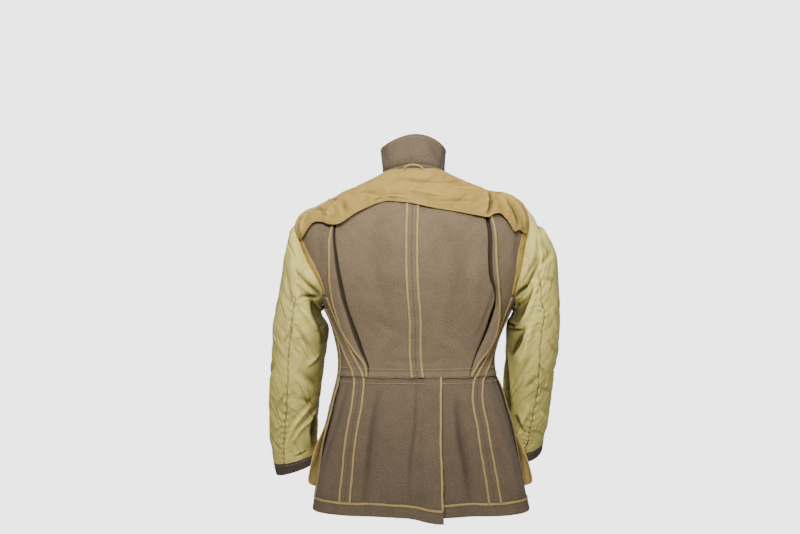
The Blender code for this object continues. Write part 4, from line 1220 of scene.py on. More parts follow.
YOKE_CREASES = [
    Crease(((-14.5, -0.0175), (9.0, -0.020), (42.0, -0.025)), -0.0022, 0.0045),
    Crease(((-3.0, -0.0375), (7.5, -0.045), (21.5, -0.0525)), 0.0024, 0.0050),
    Crease(((10.0, -0.060), (24.0, -0.066), (36.0, -0.074)), -0.0022, 0.0050),
    Crease(((-40.5, -0.045), (-28.5, -0.045), (-22.5, -0.050)), -0.0026, 0.0045),
    Crease(((-25.0, -0.0580), (-17.0, -0.0535), (-5.0, -0.0555)), 0.0046, 0.0040),
    Crease(((-24.0, -0.0500), (-15.0, -0.0465), (-4.0, -0.0480)), -0.0034, 0.0035),
    Crease(((-44.0, -0.0700), (-40.0, -0.0840), (-35.0, -0.0980)), -0.0028, 0.0050),
    Crease(((-52.0, -0.0750), (-49.0, -0.0950), (-45.0, -0.1180)), 0.0026, 0.0080),
    Crease(((-70.0, -0.0980), (-58.0, -0.0930), (-46.0, -0.0960)), -0.0020, 0.0050),
    Crease(((-76.0, -0.0500), (-66.0, -0.0560), (-54.0, -0.0650)), -0.0075, 0.0042),
    Crease(((-70.0, -0.1150), (-66.0, -0.1350), (-64.0, -0.1560)), 0.0040, 0.0080),
    Crease(((-84.0, -0.0900), (-78.0, -0.1200), (-76.0, -0.1500)), -0.0036, 0.0070),
    Crease(((62.0, -0.0450), (48.0, -0.0800), (39.0, -0.1080)), -0.0085, 0.0046),
    Crease(((58.0, -0.0760), (51.5, -0.1050), (49.0, -0.1300)), 0.0070, 0.0060),
    Crease(((58.0, -0.1000), (55.5, -0.1220), (55.0, -0.1480)), -0.0080, 0.0065),
    Crease(((64.0, -0.0760), (61.0, -0.1150), (61.5, -0.1540)), 0.0062, 0.0055),
    Crease(((71.0, -0.0700), (68.0, -0.1050), (68.0, -0.1380)), -0.0056, 0.0055),
    Crease(((76.0, -0.0600), (74.0, -0.0850), (73.0, -0.1100)), 0.0040, 0.0050),
    Crease(((30.0, -0.0300), (38.0, -0.0420), (52.0, -0.0500)), 0.0026, 0.0050),
]
print("creases of the shoulder lining:", len(YOKE_CREASES))

# %% The lining's skin
YOKE_OUT = 0.0048
YOKE_OVER_PLEAT = 0.0042
YOKE_REACH = 122.0
YOKE_ROWS = 82
YOKE_STEP = 0.7
YOKE_HEAD = 0.0070
YOKE_SHARP = 1.35
YOKE_LEAST = 0.0038
YOKE_TURN = np.array([0.0005, 0.0008, 0.0030, 0.0090])
YOKE_TURN_OUT = np.array([-0.0006, -0.0013, -0.0017, -0.0018])


def yoke_creased(angle, level):
    return 1.5 * crease_lift(angle * ARC, level, YOKE_CREASES, (ARC, 1.0), YOKE_SHARP)


def yoke_skin(angle, share, out):
    """A place on the shoulder lining: share 0 is its neck seam and 1 its lower edge."""
    angle, share, out = np.broadcast_arrays(np.asarray(angle, float), share, out)
    level = NECK + share * (smooth(YOKE_EDGE, "level", angle) - NECK)
    over = YOKE_OVER_PLEAT * np.exp(-((np.abs(angle) - 46.0) / 22.0) ** 4)
    over = over - 0.0030 * ease((np.abs(angle) - 60.0) / 14.0)
    flutter = np.sin(np.radians(angle) * 9.0 + 1.1) + 0.5 * np.sin(np.radians(angle) * 17.0)
    flutter = 0.0016 * ease(share) * flutter * (1 - 0.8 * ease((np.abs(angle) - 50.0) / 15.0))
    head = YOKE_HEAD * np.exp(-((angle + 90.0) / 15.0) ** 2) * ease((share - 0.45) / 0.4)
    loose = ease(share / 0.2)
    lift = YOKE_OUT + over + flutter + head + loose * yoke_creased(angle, level)
    lift = lift + loose * crumple(angle * ARC, level, 0.052, 0.0006)
    lift = np.maximum(lift + ripple(angle * ARC, level, 0.036, 0.0005) * loose, YOKE_LEAST)
    return plain_point(angle, level) + plain_normal(angle, level) * (lift + out)[..., None]


print("rows down the lining:", YOKE_ROWS)

# %% The sewn shoulder lining
angles = np.arange(-YOKE_REACH, YOKE_REACH + 0.1, YOKE_STEP)
edge_length = NECK - smooth(YOKE_EDGE, "level", angles)
shares = np.concatenate([np.repeat(np.linspace(0.0, 1.0, YOKE_ROWS)[:, None], len(angles), axis=1),
                         1.0 - YOKE_TURN[:, None] / edge_length])
outs = np.concatenate([np.zeros(YOKE_ROWS), YOKE_TURN_OUT])[:, None]
yoke_levels = NECK - shares * edge_length
# Painted shade in the lining's creases and painted light on its ridges.
yoke_shade = np.clip(-yoke_creased(np.broadcast_to(angles, shares.shape), yoke_levels) / 0.0055, -0.4, 1.5)
# Painted light: the left end is made lighter, where it lies flat and catches the light.
yoke_shade = yoke_shade - 0.4 * ease((-angles - 55.0) / 15.0) - 0.5 * ease((-angles - 74.0) / 10.0)
PIECES["yoke"] = cloth("yoke_lining", yoke_skin(angles, shares, outs), "shoulder_cotton",
                       LINING, ["yoke_lining"], yoke_shade)
hem_line = follow(yoke_skin, angles, 1.0 - 0.0075 / edge_length, 0.0002)
yoke_stitches = stitches("yoke_lining_stitches", hem_line[0], hem_line[2])

# %% [markdown]
# ## The collar
# The collar stands up round the neck: a low stand that leans in, and a fall that is turned up above it.
# It is two layers of wool with a stitched edge, so it is thicker than a panel and its edges are round. Two
# sheets back to back would look the same. One sheet with a live Solidify and Bevel is simpler, with a soft
# crease where stand and fall meet.

# %% Collar
CollarEdge = namedtuple("CollarEdge", "share half_width back front left right level chin")
COLLAR = [
    CollarEdge(0.0, 0.0702, 0.0605, 0.0665, -0.0090, -0.0030, 0.0090, -0.0620),
    CollarEdge(1.0, 0.0690, 0.0585, 0.0760, 0.0120, 0.0150, 0.0290, -0.0380),
    CollarEdge(2.0, 0.0722, 0.0570, 0.0920, 0.0570, 0.0570, 0.0840, 0.0180),
]
COLLAR_ARC, COLLAR_HEIGHT = 0.0013, 0.037
COLLAR_CREASES = [
    Crease(((-95.0, 0.85), (-40.0, 0.70), (10.0, 0.66), (70.0, 0.78)), -0.0020, 0.0055),
    Crease(((-60.0, 1.20), (-20.0, 1.15), (20.0, 1.25)), 0.0010, 0.0080),
    Crease(((25.0, 1.70), (45.0, 1.30), (62.0, 1.00)), -0.0012, 0.0070),
    Crease(((-70.0, 1.80), (-55.0, 1.40), (-50.0, 1.05)), -0.0010, 0.0080),
]
COLLAR_WOOL = 0.0030
COLLAR_LIMIT = 173.0
COLLAR_COLUMNS, COLLAR_ROWS = 132, 46
COLLAR_ROUND = 0.0012
COLLAR_STITCHED = 1.885
print("collar columns and rows:", COLLAR_COLUMNS, COLLAR_ROWS)

# %% The collar's skin
def collar_creased(angle, share):
    place_on = (angle * COLLAR_ARC, share * COLLAR_HEIGHT)
    return 1.6 * crease_lift(*place_on, COLLAR_CREASES, (COLLAR_ARC, COLLAR_HEIGHT))


def collar_skin(angle, share, out):
    """A place on the collar's outer face: share 0 is the neck seam, 1 the crease and 2 the top edge."""
    angle, share, out = np.broadcast_arrays(np.asarray(angle, float), np.asarray(share, float), out)
    across, along, reach = section(angle)
    uneven = ripple(angle * COLLAR_ARC, share * COLLAR_HEIGHT, 0.045, 0.0005)
    swell = out + collar_creased(angle, share) + uneven
    depth = np.where(along > 0, smooth(COLLAR, "back", share), smooth(COLLAR, "front", share)) + swell
    side = np.where(across < 0, smooth(COLLAR, "left", share), smooth(COLLAR, "right", share))
    end = np.where(along > 0, smooth(COLLAR, "level", share), smooth(COLLAR, "chin", share))
    x = BODY[0].centre + (smooth(COLLAR, "half_width", share) + swell) * reach * across
    height = side * across ** 2 + end * along ** 2 + 0.0011
    height = height + 0.0009 * share * np.sin(np.radians(angle) * 3.0 + 0.6)
    return np.stack([x, -depth * reach * along, height], axis=-1)


def round_edges(piece, width):
    """Rounds the rim that Solidify makes."""
    bevel = piece.modifiers.new("round_edge", "BEVEL")
    bevel.width = width
    bevel.segments = 3
    bevel.limit_method = "ANGLE"
    bevel.angle_limit = math.radians(50)


angles = np.linspace(-COLLAR_LIMIT, COLLAR_LIMIT, COLLAR_COLUMNS)
shares = np.linspace(0.0, 2.0, COLLAR_ROWS)[:, None]
# Painted shade in the collar's creases.
shade = np.clip(-collar_creased(angles, shares) / HOLLOW_DEPTH, 0.0, 1.0)
PIECES["collar"] = cloth("collar", collar_skin(angles, shares, 0.0), "collar_wool",
                         COLLAR_WOOL, ["collar_stand", "collar_fall"], shade)
round_edges(PIECES["collar"], COLLAR_ROUND)
inset = np.linspace(-COLLAR_LIMIT + 4.0, COLLAR_LIMIT - 4.0, 160)
top_row = follow(collar_skin, inset, np.full(len(inset), COLLAR_STITCHED), 0.0003)
stitches("collar_stitches", top_row[0], top_row[2])

# %% [markdown]
# ## The hanger loop
# The hanger loop is a short round cord of the same tape, sewn in at the collar seam. Half a torus would be
# too even for it. The tube that makes the threads follows an arch instead, a little lower at one end.

# %% Hanger loop
LOOP_HALF_WIDTH = 0.021
LOOP_RISE = 0.0135
LOOP_RADIUS = 0.0019
turns = np.linspace(0.0, np.pi, 33)
loop_path = np.stack([0.002 - LOOP_HALF_WIDTH * np.cos(turns), -0.0645 - 0.0050 * np.sin(turns),
                      0.0050 + LOOP_RISE * np.sin(turns) ** 0.8 + 0.0012 * np.cos(turns)], axis=-1)
loop_normal = np.tile([0.0, -1.0, 0.0], (len(turns), 1))
loop_across = np.cross(np.gradient(loop_path, axis=0), loop_normal)
loop_across /= np.linalg.norm(loop_across, axis=-1, keepdims=True)
loop_width = 2 * LOOP_RADIUS
loop_data = tube("hanger_loop_cord", (loop_path, loop_across, loop_normal), loop_width, loop_width,
                 RIBBON_SIDES, 0.9)
place(loop_data, "binding", ["hanger_loop"])
loop_length = float(np.linalg.norm(np.diff(loop_path, axis=0), axis=-1).sum())
print("hanger loop length:", round(loop_length, 4))

# %% [markdown]
# ## Sleeve linings
# Each sleeve lining is cut in two: a wide top piece and a narrower under piece, joined by a puckered
# seam down the elbow and a plain one inside. A straight tube could be bent with bones. A smooth curve
# through a few sections down the arm is enough, because the arm keeps its pose, and it can start on the
# armhole's own edge.

# %% Sleeve form
Cuff = namedtuple("Cuff", "x y z across fore roll pitch")
SLEEVES = {
    -1: [
        Cuff(-0.2440, 0.000, -0.2240, 0.0725, 0.066, 63.0, 0.0),
        Cuff(-0.2465, 0.000, -0.2780, 0.0540, 0.068, 31.0, 0.0),
        Cuff(-0.2460, 0.001, -0.3310, 0.0620, 0.066, 5.0, 3.0),
        Cuff(-0.2500, 0.004, -0.3850, 0.0590, 0.063, 0.0, 6.0),
        Cuff(-0.2580, 0.012, -0.4500, 0.0585, 0.059, 0.0, 9.0),
        Cuff(-0.2640, 0.028, -0.5200, 0.0555, 0.055, -3.0, 9.0),
        Cuff(-0.2655, 0.044, -0.5800, 0.0535, 0.052, -8.0, 8.0),
        Cuff(-0.2605, 0.056, -0.6270, 0.0530, 0.050, -15.0, 7.0),
        Cuff(-0.2575, 0.061, -0.6490, 0.0520, 0.049, -19.0, 7.0),
    ],
    1: [
        Cuff(0.2690, 0.000, -0.2195, 0.0790, 0.066, 61.0, 0.0),
        Cuff(0.2700, 0.000, -0.2790, 0.0595, 0.068, 29.0, 0.0),
        Cuff(0.2660, 0.002, -0.3250, 0.0590, 0.066, 5.0, 5.0),
        Cuff(0.2640, 0.010, -0.3850, 0.0570, 0.063, 0.0, 10.0),
        Cuff(0.2590, 0.030, -0.4450, 0.0560, 0.059, 0.0, 16.0),
        Cuff(0.2580, 0.060, -0.5150, 0.0530, 0.055, 2.0, 22.0),
        Cuff(0.2570, 0.088, -0.5680, 0.0500, 0.052, 5.0, 24.0),
        Cuff(0.2540, 0.106, -0.6040, 0.0480, 0.049, 9.0, 24.0),
        Cuff(0.2530, 0.113, -0.6250, 0.0470, 0.048, 10.0, 24.0),
    ],
}
CUFF_START = 8.0
CUFF_END = 9.0
INNER_SEAM = 118.0
ARMHOLE_EASE = 0.0026
print("sleeve sections:", [len(rows) for rows in SLEEVES.values()])

# %% Rings of the sleeve
def armhole_points(side, rounds):
    shares = np.abs((rounds + 180.0) % 360.0 - 180.0) / 180.0
    level, angle = armhole_curve(side, shares)
    in_front = (rounds % 360.0) < 180.0
    return plain_point(side * np.where(in_front, 180.0 - angle, angle), level)


def sleeve_ring(side, row, rounds):
    """One section of a sleeve. Round 0 is its outer side, 90 its front, 180 its inner side."""
    turn = np.radians(rounds)[..., None]
    roll, pitch = math.radians(row.roll), math.radians(row.pitch)
    outward = np.array([side * math.cos(roll), 0.0, math.sin(roll)])
    forward = np.array([0.0, math.cos(pitch), math.sin(pitch)])
    centre = np.array([row.x, row.y, row.z])
    return centre + row.across * np.cos(turn) * outward + row.fore * np.sin(turn) * forward


def sleeve_form(side, rounds, stops):
    """The plain sleeve: a smooth curve through its sections for each place round it."""
    rounds, stops = np.broadcast_arrays(np.asarray(rounds, float), np.asarray(stops, float))
    hole = armhole_points(side, rounds)
    toward = armhole_points(side, np.arange(0.0, 360.0, 15.0)).mean(axis=0) - hole
    hole = hole + ARMHOLE_EASE * toward / np.linalg.norm(toward, axis=-1, keepdims=True)
    rings = np.stack([hole] + [sleeve_ring(side, row, rounds) for row in SLEEVES[side]])
    slopes = np.gradient(rings, axis=0)
    spot = np.clip(np.floor(stops).astype(int), 0, len(rings) - 2)
    t = (stops - spot)[..., None]

    def pick(values, at):
        return np.take_along_axis(values, at[None, ..., None], axis=0)[0]
    start = pick(rings, spot) * (1 + 2 * t) + pick(slopes, spot) * t
    end = pick(rings, spot + 1) * (3 - 2 * t) - pick(slopes, spot + 1) * (1 - t)
    return start * (1 - t) ** 2 + end * t ** 2


left_end = sleeve_form(-1, np.array([0.0, 180.0]), np.array([CUFF_END]))
print("left sleeve ends at:", left_end.round(3).tolist())

# %% [markdown]
# ## Sleeve seams and creases
# Thin sateen creases sharply where the arm bends, so the sleeves have the most creases of all. The elbow
# seam wanders down the back of each sleeve and pulls small puckers on both sides. A bump could hint at
# them, but it wouldn't change the outline, so all of them move the cloth. A crease is given by its place
# round the sleeve in degrees and its stop along it. Those on the hidden front follow the same habits.

# %% Sleeve seams and creases
Elbow = namedtuple("Elbow", "stop round")
ELBOWS = {
    -1: [Elbow(0.0, -92.0), Elbow(1.0, -88.0), Elbow(1.9, -82.0), Elbow(2.5, -77.0), Elbow(3.2, -74.0),
         Elbow(4.1, -72.0), Elbow(4.8, -76.0), Elbow(5.2, -77.0), Elbow(6.3, -75.0), Elbow(7.85, -63.0),
         Elbow(9.0, -60.0)],
    1: [Elbow(0.0, -90.0), Elbow(0.9, -88.0), Elbow(1.45, -87.0), Elbow(1.93, -84.0), Elbow(2.6, -74.0),
        Elbow(3.1, -78.0), Elbow(3.95, -79.0), Elbow(4.6, -76.0), Elbow(5.1, -74.0), Elbow(5.6, -78.0),
        Elbow(6.45, -85.0), Elbow(7.33, -88.0), Elbow(9.0, -90.0)],
}
ROUND_ARC, STOP_LENGTH = 0.00102, 0.052
SLEEVE_SHARP = 1.30
SEAM_TOPS = {-1: 1.65, 1: 0.80}
CAP_FULLNESS = {-1: 0.0120, 1: 0.0055}
PIT_FULLNESS = {-1: 0.0150, 1: 0.0140}
HIDDEN_CREASES = [
    Crease(((-25.0, 2.3), (0.0, 2.7), (25.0, 3.2)), -0.0040, 0.0080),
    Crease(((-30.0, 4.4), (-5.0, 4.7), (15.0, 5.1)), -0.0036, 0.0075),
    Crease(((0.0, 6.0), (20.0, 6.2), (45.0, 6.6)), -0.0034, 0.0070),
    Crease(((45.0, 2.2), (70.0, 2.5), (95.0, 3.1)), -0.0050, 0.0090),
    Crease(((40.0, 4.1), (65.0, 4.3), (90.0, 4.8)), 0.0044, 0.0080),
    Crease(((60.0, 5.5), (80.0, 5.8), (100.0, 6.4)), -0.0040, 0.0080),
]
print("hidden creases:", len(HIDDEN_CREASES))

# %% Creases of each sleeve
SLEEVE_CREASES = {
    -1: HIDDEN_CREASES + [
        Crease(((-79.0, 2.93), (-68.0, 3.30), (-56.0, 3.62)), -0.0042, 0.0045),
        Crease(((-86.0, 2.98), (-98.0, 3.25), (-116.0, 3.78)), -0.0056, 0.0055),
        Crease(((-24.0, 0.76), (-51.0, 0.72), (-72.0, 0.66)), -0.0044, 0.0035),
        Crease(((-76.0, 0.98), (-109.0, 0.66), (-138.0, 0.30)), -0.0085, 0.0060),
        Crease(((-94.0, 1.80), (-128.0, 1.05), (-142.0, 0.35)), -0.0060, 0.0040),
        Crease(((-86.0, 1.30), (-112.0, 1.05), (-130.0, 0.66)), 0.0060, 0.0060),
        Crease(((-140.0, 1.30), (-138.0, 2.30), (-152.0, 3.55)), -0.0080, 0.0140),
        Crease(((-114.0, 4.35), (-126.0, 4.20), (-140.0, 4.05)), 0.0046, 0.0060),
        Crease(((-75.0, 5.25), (-63.0, 5.45), (-49.0, 5.75)), -0.0042, 0.0045),
        Crease(((-71.0, 6.33), (-60.0, 6.42), (-47.0, 6.56)), -0.0032, 0.0036),
        Crease(((-71.0, 6.56), (-60.0, 6.70), (-48.0, 6.87)), -0.0032, 0.0036),
        Crease(((-138.0, 5.62), (-111.0, 5.98), (-94.0, 6.35), (-74.0, 7.20)), 0.0066, 0.0062),
        Crease(((-157.0, 5.90), (-135.0, 6.20), (-112.0, 6.48), (-90.0, 6.98)), 0.0052, 0.0055),
        Crease(((-106.0, 5.38), (-122.0, 5.50), (-140.0, 5.68)), -0.0048, 0.0050),
        Crease(((-150.0, 6.15), (-148.0, 6.80), (-150.0, 7.45)), -0.0095, 0.0120),
        Crease(((-124.0, 7.58), (-110.0, 7.62), (-94.0, 7.68)), -0.0050, 0.0045),
        Crease(((-98.0, 4.50), (-118.0, 4.75), (-142.0, 5.00)), -0.0048, 0.0090),
        Crease(((-40.0, 1.40), (-60.0, 1.75), (-76.0, 2.20)), -0.0034, 0.0070),
        Crease(((-96.0, 2.10), (-112.0, 2.40), (-128.0, 2.95)), 0.0050, 0.0080),
        Crease(((-30.0, 3.40), (-50.0, 3.75), (-66.0, 4.05)), 0.0034, 0.0075),
        Crease(((-35.0, 6.95), (-52.0, 7.15), (-64.0, 7.45)), -0.0034, 0.0050),
    ],
    1: HIDDEN_CREASES + [
        Crease(((-76.0, 0.72), (-100.0, 0.70), (-120.0, 0.68), (-144.0, 0.20)), -0.0125, 0.0050),
        Crease(((-80.0, 0.60), (-101.0, 0.48), (-122.0, 0.36)), -0.0085, 0.0030),
        Crease(((-56.0, 0.45), (-77.0, 0.58), (-94.0, 0.62)), -0.0060, 0.0042),
        Crease(((-34.0, 1.06), (-61.0, 0.98), (-81.0, 0.84)), -0.0052, 0.0040),
        Crease(((-64.0, 0.74), (-76.0, 0.86), (-90.0, 0.98)), 0.0050, 0.0050),
        Crease(((-163.0, 3.15), (-141.0, 3.10), (-121.0, 3.08)), -0.0060, 0.0034),
        Crease(((-110.0, 0.95), (-123.0, 1.58), (-134.0, 2.60)), -0.0095, 0.0075),
        Crease(((-98.0, 1.20), (-106.0, 1.80), (-118.0, 2.60)), 0.0058, 0.0070),
        Crease(((-76.0, 1.33), (-58.0, 1.55), (-37.0, 1.80)), -0.0034, 0.0040),
        Crease(((-104.0, 0.88), (-124.0, 1.18), (-156.0, 1.24)), 0.0090, 0.0055),
        Crease(((-152.0, 0.55), (-146.0, 0.80), (-140.0, 1.02)), -0.0080, 0.0070),
        Crease(((-168.0, 2.80), (-156.0, 2.88), (-142.0, 3.00)), -0.0070, 0.0080),
        Crease(((-116.0, 2.98), (-125.0, 3.48), (-146.0, 4.00)), -0.0100, 0.0065),
        Crease(((-100.0, 2.90), (-108.0, 3.50), (-122.0, 4.20)), 0.0060, 0.0085),
        Crease(((-80.0, 4.30), (-69.0, 4.45), (-56.0, 4.66)), -0.0036, 0.0040),
        Crease(((-75.0, 4.60), (-86.0, 4.82), (-100.0, 5.08)), -0.0046, 0.0048),
        Crease(((-72.0, 5.10), (-45.0, 5.20), (-12.0, 5.45)), -0.0032, 0.0045),
        Crease(((-86.0, 6.48), (-60.0, 6.70), (-20.0, 7.25)), -0.0034, 0.0045),
        Crease(((-170.0, 4.25), (-154.0, 5.10), (-144.0, 5.85)), -0.0080, 0.0120),
        Crease(((-124.0, 6.00), (-114.0, 6.25), (-105.0, 6.55)), -0.0090, 0.0085),
        Crease(((-92.0, 5.60), (-104.0, 6.10), (-112.0, 6.90)), 0.0046, 0.0075),
        Crease(((-62.0, 2.40), (-48.0, 2.75), (-36.0, 3.20)), 0.0036, 0.0070),
        Crease(((-60.0, 3.50), (-45.0, 3.75), (-25.0, 4.00)), -0.0032, 0.0055),
        Crease(((-96.0, 3.95), (-108.0, 4.25), (-118.0, 4.75)), -0.0040, 0.0065),
        Crease(((-66.0, 0.55), (-50.0, 0.75), (-38.0, 1.10)), -0.0036, 0.0065),
        Crease(((-64.0, 5.85), (-48.0, 6.05), (-30.0, 6.40)), 0.0034, 0.0060),
        Crease(((30.0, 0.55), (0.0, 0.50), (-40.0, 0.50)), -0.0085, 0.0070),
    ],
}
print("creases on each sleeve:", [len(rows) for rows in SLEEVE_CREASES.values()])

# %% The elbow seam
def elbow_line(side, stops):
    return smooth(ELBOWS[side], "round", stops)


def sleeve_creased(side, rounds, stops):
    """The sleeve's creases, fading into its sewn ends."""
    lift = crease_lift(rounds * ROUND_ARC, stops * STOP_LENGTH, SLEEVE_CREASES[side],
                       (ROUND_ARC, STOP_LENGTH), SLEEVE_SHARP)
    return lift * ease(stops / 0.22) * ease((CUFF_START + 0.15 - stops) / 0.45)


def seam_distance(side, rounds, stops):
    """Distance from the elbow seam, which zigzags where its stitches draw the cloth."""
    along = stops * STOP_LENGTH
    zigzag = 0.0015 * np.sin(along / 0.0056 + 1.6 * np.sin(along / 0.023)) + 0.0009 * np.sin(along / 0.0024)
    return (rounds - elbow_line(side, stops)) * ROUND_ARC - zigzag


def seam_shows(side, stops):
    """The elbow seam is only drawn tight below the folds at the top of the sleeve."""
    return ease((stops - SEAM_TOPS[side]) / 0.30)


print("elbow seam at the top, degrees:", [ELBOWS[side][0].round for side in (-1, 1)])

# %% The sleeve's skin
def sleeve_lift(side, rounds, stops):
    away, along = seam_distance(side, rounds, stops), stops * STOP_LENGTH
    sewn = seam_shows(side, stops)
    groove = sewn * (-0.0028 * np.exp(-(away / 0.0021) ** 2) + 0.0014 * np.exp(-(away / 0.0060) ** 2))
    beat = 2 * np.pi * along / 0.0128 + 2.4 * np.sin(along / 0.029) + 150.0 * np.abs(away)
    drawn = 0.6 + 0.4 * np.sin(along / 0.041)
    pucker = sewn * 0.0019 * np.sin(beat) * np.exp(-np.abs(away) / 0.0095) * drawn
    inner_seams = (INNER_SEAM, INNER_SEAM - 360.0)
    inner = sum(np.exp(-((rounds - seam) * ROUND_ARC / 0.003) ** 2) for seam in inner_seams)
    cap = np.exp(-(turned(rounds) / 62.0) ** 2) * ease(stops / 0.12) * (1 - ease((stops - 0.25) / 0.9))
    pit = np.exp(-((np.abs(turned(rounds)) - 180.0) / 40.0) ** 2) * np.exp(-((stops - 0.9) / 0.60) ** 2)
    worn = crumple(rounds * ROUND_ARC, along, 0.064, 0.0008)
    worn = worn + ripple(rounds * ROUND_ARC, along, 0.050, 0.0007)
    worn = worn * ease(stops / 0.4) * ease((CUFF_START + 0.1 - stops) / 0.4) - 0.0010 * inner
    full = CAP_FULLNESS[side] * cap + PIT_FULLNESS[side] * pit * ease(stops / 0.2)
    return sleeve_creased(side, rounds, stops) + groove + pucker + worn + full


def sleeve_skin(side):
    def skin(rounds, stops, out):
        rounds, stops = np.broadcast_arrays(np.asarray(rounds, float), np.asarray(stops, float))

        def normal(rounds, stops):
            across = sleeve_form(side, rounds + 0.5, stops) - sleeve_form(side, rounds - 0.5, stops)
            low = np.clip(stops, 0.02, CUFF_END - 0.02)
            down = sleeve_form(side, rounds, low + 0.02) - sleeve_form(side, rounds, low - 0.02)
            both = np.cross(across, down)
            return both / np.linalg.norm(both, axis=-1, keepdims=True)
        outer = side * np.sign(normal(np.array([0.0]), np.array([4.0]))[0, 0])
        lift = out + sleeve_lift(side, rounds, stops)
        return sleeve_form(side, rounds, stops) + outer * normal(rounds, stops) * lift[..., None]
    return skin


mid_sleeve = sleeve_skin(-1)(np.array([-90.0]), np.array([4.0]), 0.0)
print("left sleeve, middle of the back:", mid_sleeve.round(3).tolist())

# %% [markdown]
# ## The cut sleeves and their wool bands
# Now each sleeve is cut along its two seams, and a band of wool is sewn to its end. One tube with a line
# drawn on it would be quicker, but two sheets have real edges that meet in the seam and a grain of their
# own. Painted shade darkens the lining towards the armpit and the inner side, where it shades itself.

# %% Sleeves and cuffs
SLEEVE_ROWS = 202
ARMPITS = {-1: (110.0, 1.1), 1: (118.0, 1.3)}  # where the shade starts and how far it runs
SLEEVE_SHADE = {-1: 1.35, 1: 1.10}
SLEEVE_DARKEST = 1.85
TOP_COLUMNS, UNDER_COLUMNS = 120, 90
CUFF_COLUMNS, CUFF_ROWS = 97, 22
CUFF_WOOL = 0.0024
RIM_ROUND = 0.0009


def sleeve_piece(side, name, columns, start, stop):
    """One piece of a sleeve lining, between two seams that may wander with the stop."""
    stops = np.linspace(0.0, CUFF_START + 0.06, SLEEVE_ROWS)
    shares = np.linspace(0.0, 1.0, columns)
    rounds = start(stops)[:, None] * (1 - shares) + stop(stops)[:, None] * shares
    stops = np.broadcast_to(stops[:, None], rounds.shape)
    points = sleeve_skin(side)(rounds, stops, 0.0)
    # Painted shade along the elbow seam's groove, in the creases, towards the inner side and in the armpit,
    # and painted light on the ridges.
    seam = seam_shows(side, stops) * np.exp(-(seam_distance(side, rounds, stops) / 0.0015) ** 2)
    inside = SLEEVE_SHADE[side] * ease((np.abs(turned(rounds)) - 96.0) / 60.0)
    depth, length = ARMPITS[side]
    armpit = 0.95 * ease((np.abs(turned(rounds)) - depth) / 16.0)
    inside = inside + armpit * np.exp(-((stops - 2.3) / length) ** 2)
    dents = np.clip(-sleeve_creased(side, rounds, stops) / 0.0055, -0.7, 1.1)
    painted_shading = np.minimum(dents + 1.1 * seam + inside, SLEEVE_DARKEST)
    middle = sleeve_form(side, np.arange(0.0, 360.0, 30.0), stops[:, :1]).mean(axis=1)[:, None]
    node = f"{name}_{side_name(side)}"
    PIECES[node] = cloth(node, points, "sleeve_sateen", LINING, [node], painted_shading, middle)


def cuff(side):
    """The wool band that the lining is sewn to."""
    node = f"cuff_{side_name(side)}"
    rounds = np.linspace(0.0, 360.0, CUFF_COLUMNS)
    stops = np.linspace(CUFF_START - 0.05, CUFF_END, CUFF_ROWS)[:, None]
    bulge = 0.0012 + 0.0004 * np.sin(np.radians(rounds) * 5.0 + side)
    middle = sleeve_form(side, np.arange(0.0, 360.0, 30.0), stops).mean(axis=1)[:, None]
    points = sleeve_form(side, rounds, stops)
    outward = points - middle
    points = points + bulge[None, :, None] * outward / np.linalg.norm(outward, axis=-1, keepdims=True)
    points[:, -1] = points[:, 0]
    PIECES[node] = cloth(node, points, "cuff_wool", CUFF_WOOL, [node], None, middle, closed=True)
    round_edges(PIECES[node], RIM_ROUND)
    row = points[3]
    normals = (row - middle[3]) / np.linalg.norm(row - middle[3], axis=-1, keepdims=True)
    stitches(f"{node}_stitches", row, normals)


for side in (-1, 1):
    def elbow(stops, side=side):
        return elbow_line(side, stops)

    sleeve_piece(side, "sleeve_top", TOP_COLUMNS, elbow, fixed(INNER_SEAM))
    sleeve_piece(side, "sleeve_under", UNDER_COLUMNS, fixed(INNER_SEAM - 360.0), elbow)
    cuff(side)

# %% [markdown]
# ## Armhole strips
# A strip of tan cotton covers the back of each armhole seam and grows narrower towards the armpit. It could
# be an extra loop of faces on the sleeve. It is a panel of its own, because on the jacket it is a cut piece
# with its own stitching.

# %% Armhole strips
STRIP_WIDTH = 0.0175
STRIP_TOP, STRIP_FULL = -0.150, -0.195
STRIP_TAPER = {-1: 0.72, 1: 0.35}
STRIP_PAINTED_LIGHT = -0.5
for side in (-1, 1):
    node = f"armhole_strip_{side_name(side)}"
    edge = back_outer_edge(side)
    levels = rows_between(STRIP_TOP, ARM_JOINT + 0.001)
    taper = 1.0 - STRIP_TAPER[side] * ease((STRIP_FULL - levels) / (STRIP_FULL - ARM_JOINT))
    width = (STRIP_WIDTH + 0.0012 * np.sin(levels / 0.017)) * taper
    stations = [
        Station(aside(edge, -side * width), 0.0004, 1),
        Station(aside(edge, -side * (width - 0.0008)), 0.0016, 8),
        Station(aside(edge, -side * 0.0030), 0.0018, 3),
        Station(aside(edge, side * 0.0016), 0.0004, 0),
    ]
    angles, outs = station_grid(stations, levels)
    outs = outs + ripple(angles * ARC, levels[:, None], 0.018, 0.0004)
    points = body_skin(angles, levels[:, None], outs)
    # Painted light: the strips are made lighter all over, to offset the shade where they turn away from the
    # lamps.
    tone = np.full(angles.shape, STRIP_PAINTED_LIGHT)
    PIECES[node] = cloth(node, points, "shoulder_cotton", LINING, [node], tone)
    row = follow(body_skin, aside(edge, -side * (width - 0.0022))(levels), levels, 0.0021)
    stitches(f"{node}_stitches", row[0], row[2])

# %% [markdown]
# ## Pocket bags
# The pocket bags hang on the fronts and swing clear of them at the sides of the skirt, so their edges show
# from behind. A bag is two layers of cotton, sewn at the edge. Two sheets would touch almost everywhere, so
# one thicker sheet with a rounded rim stands for both, and its swing grows towards the free edge.

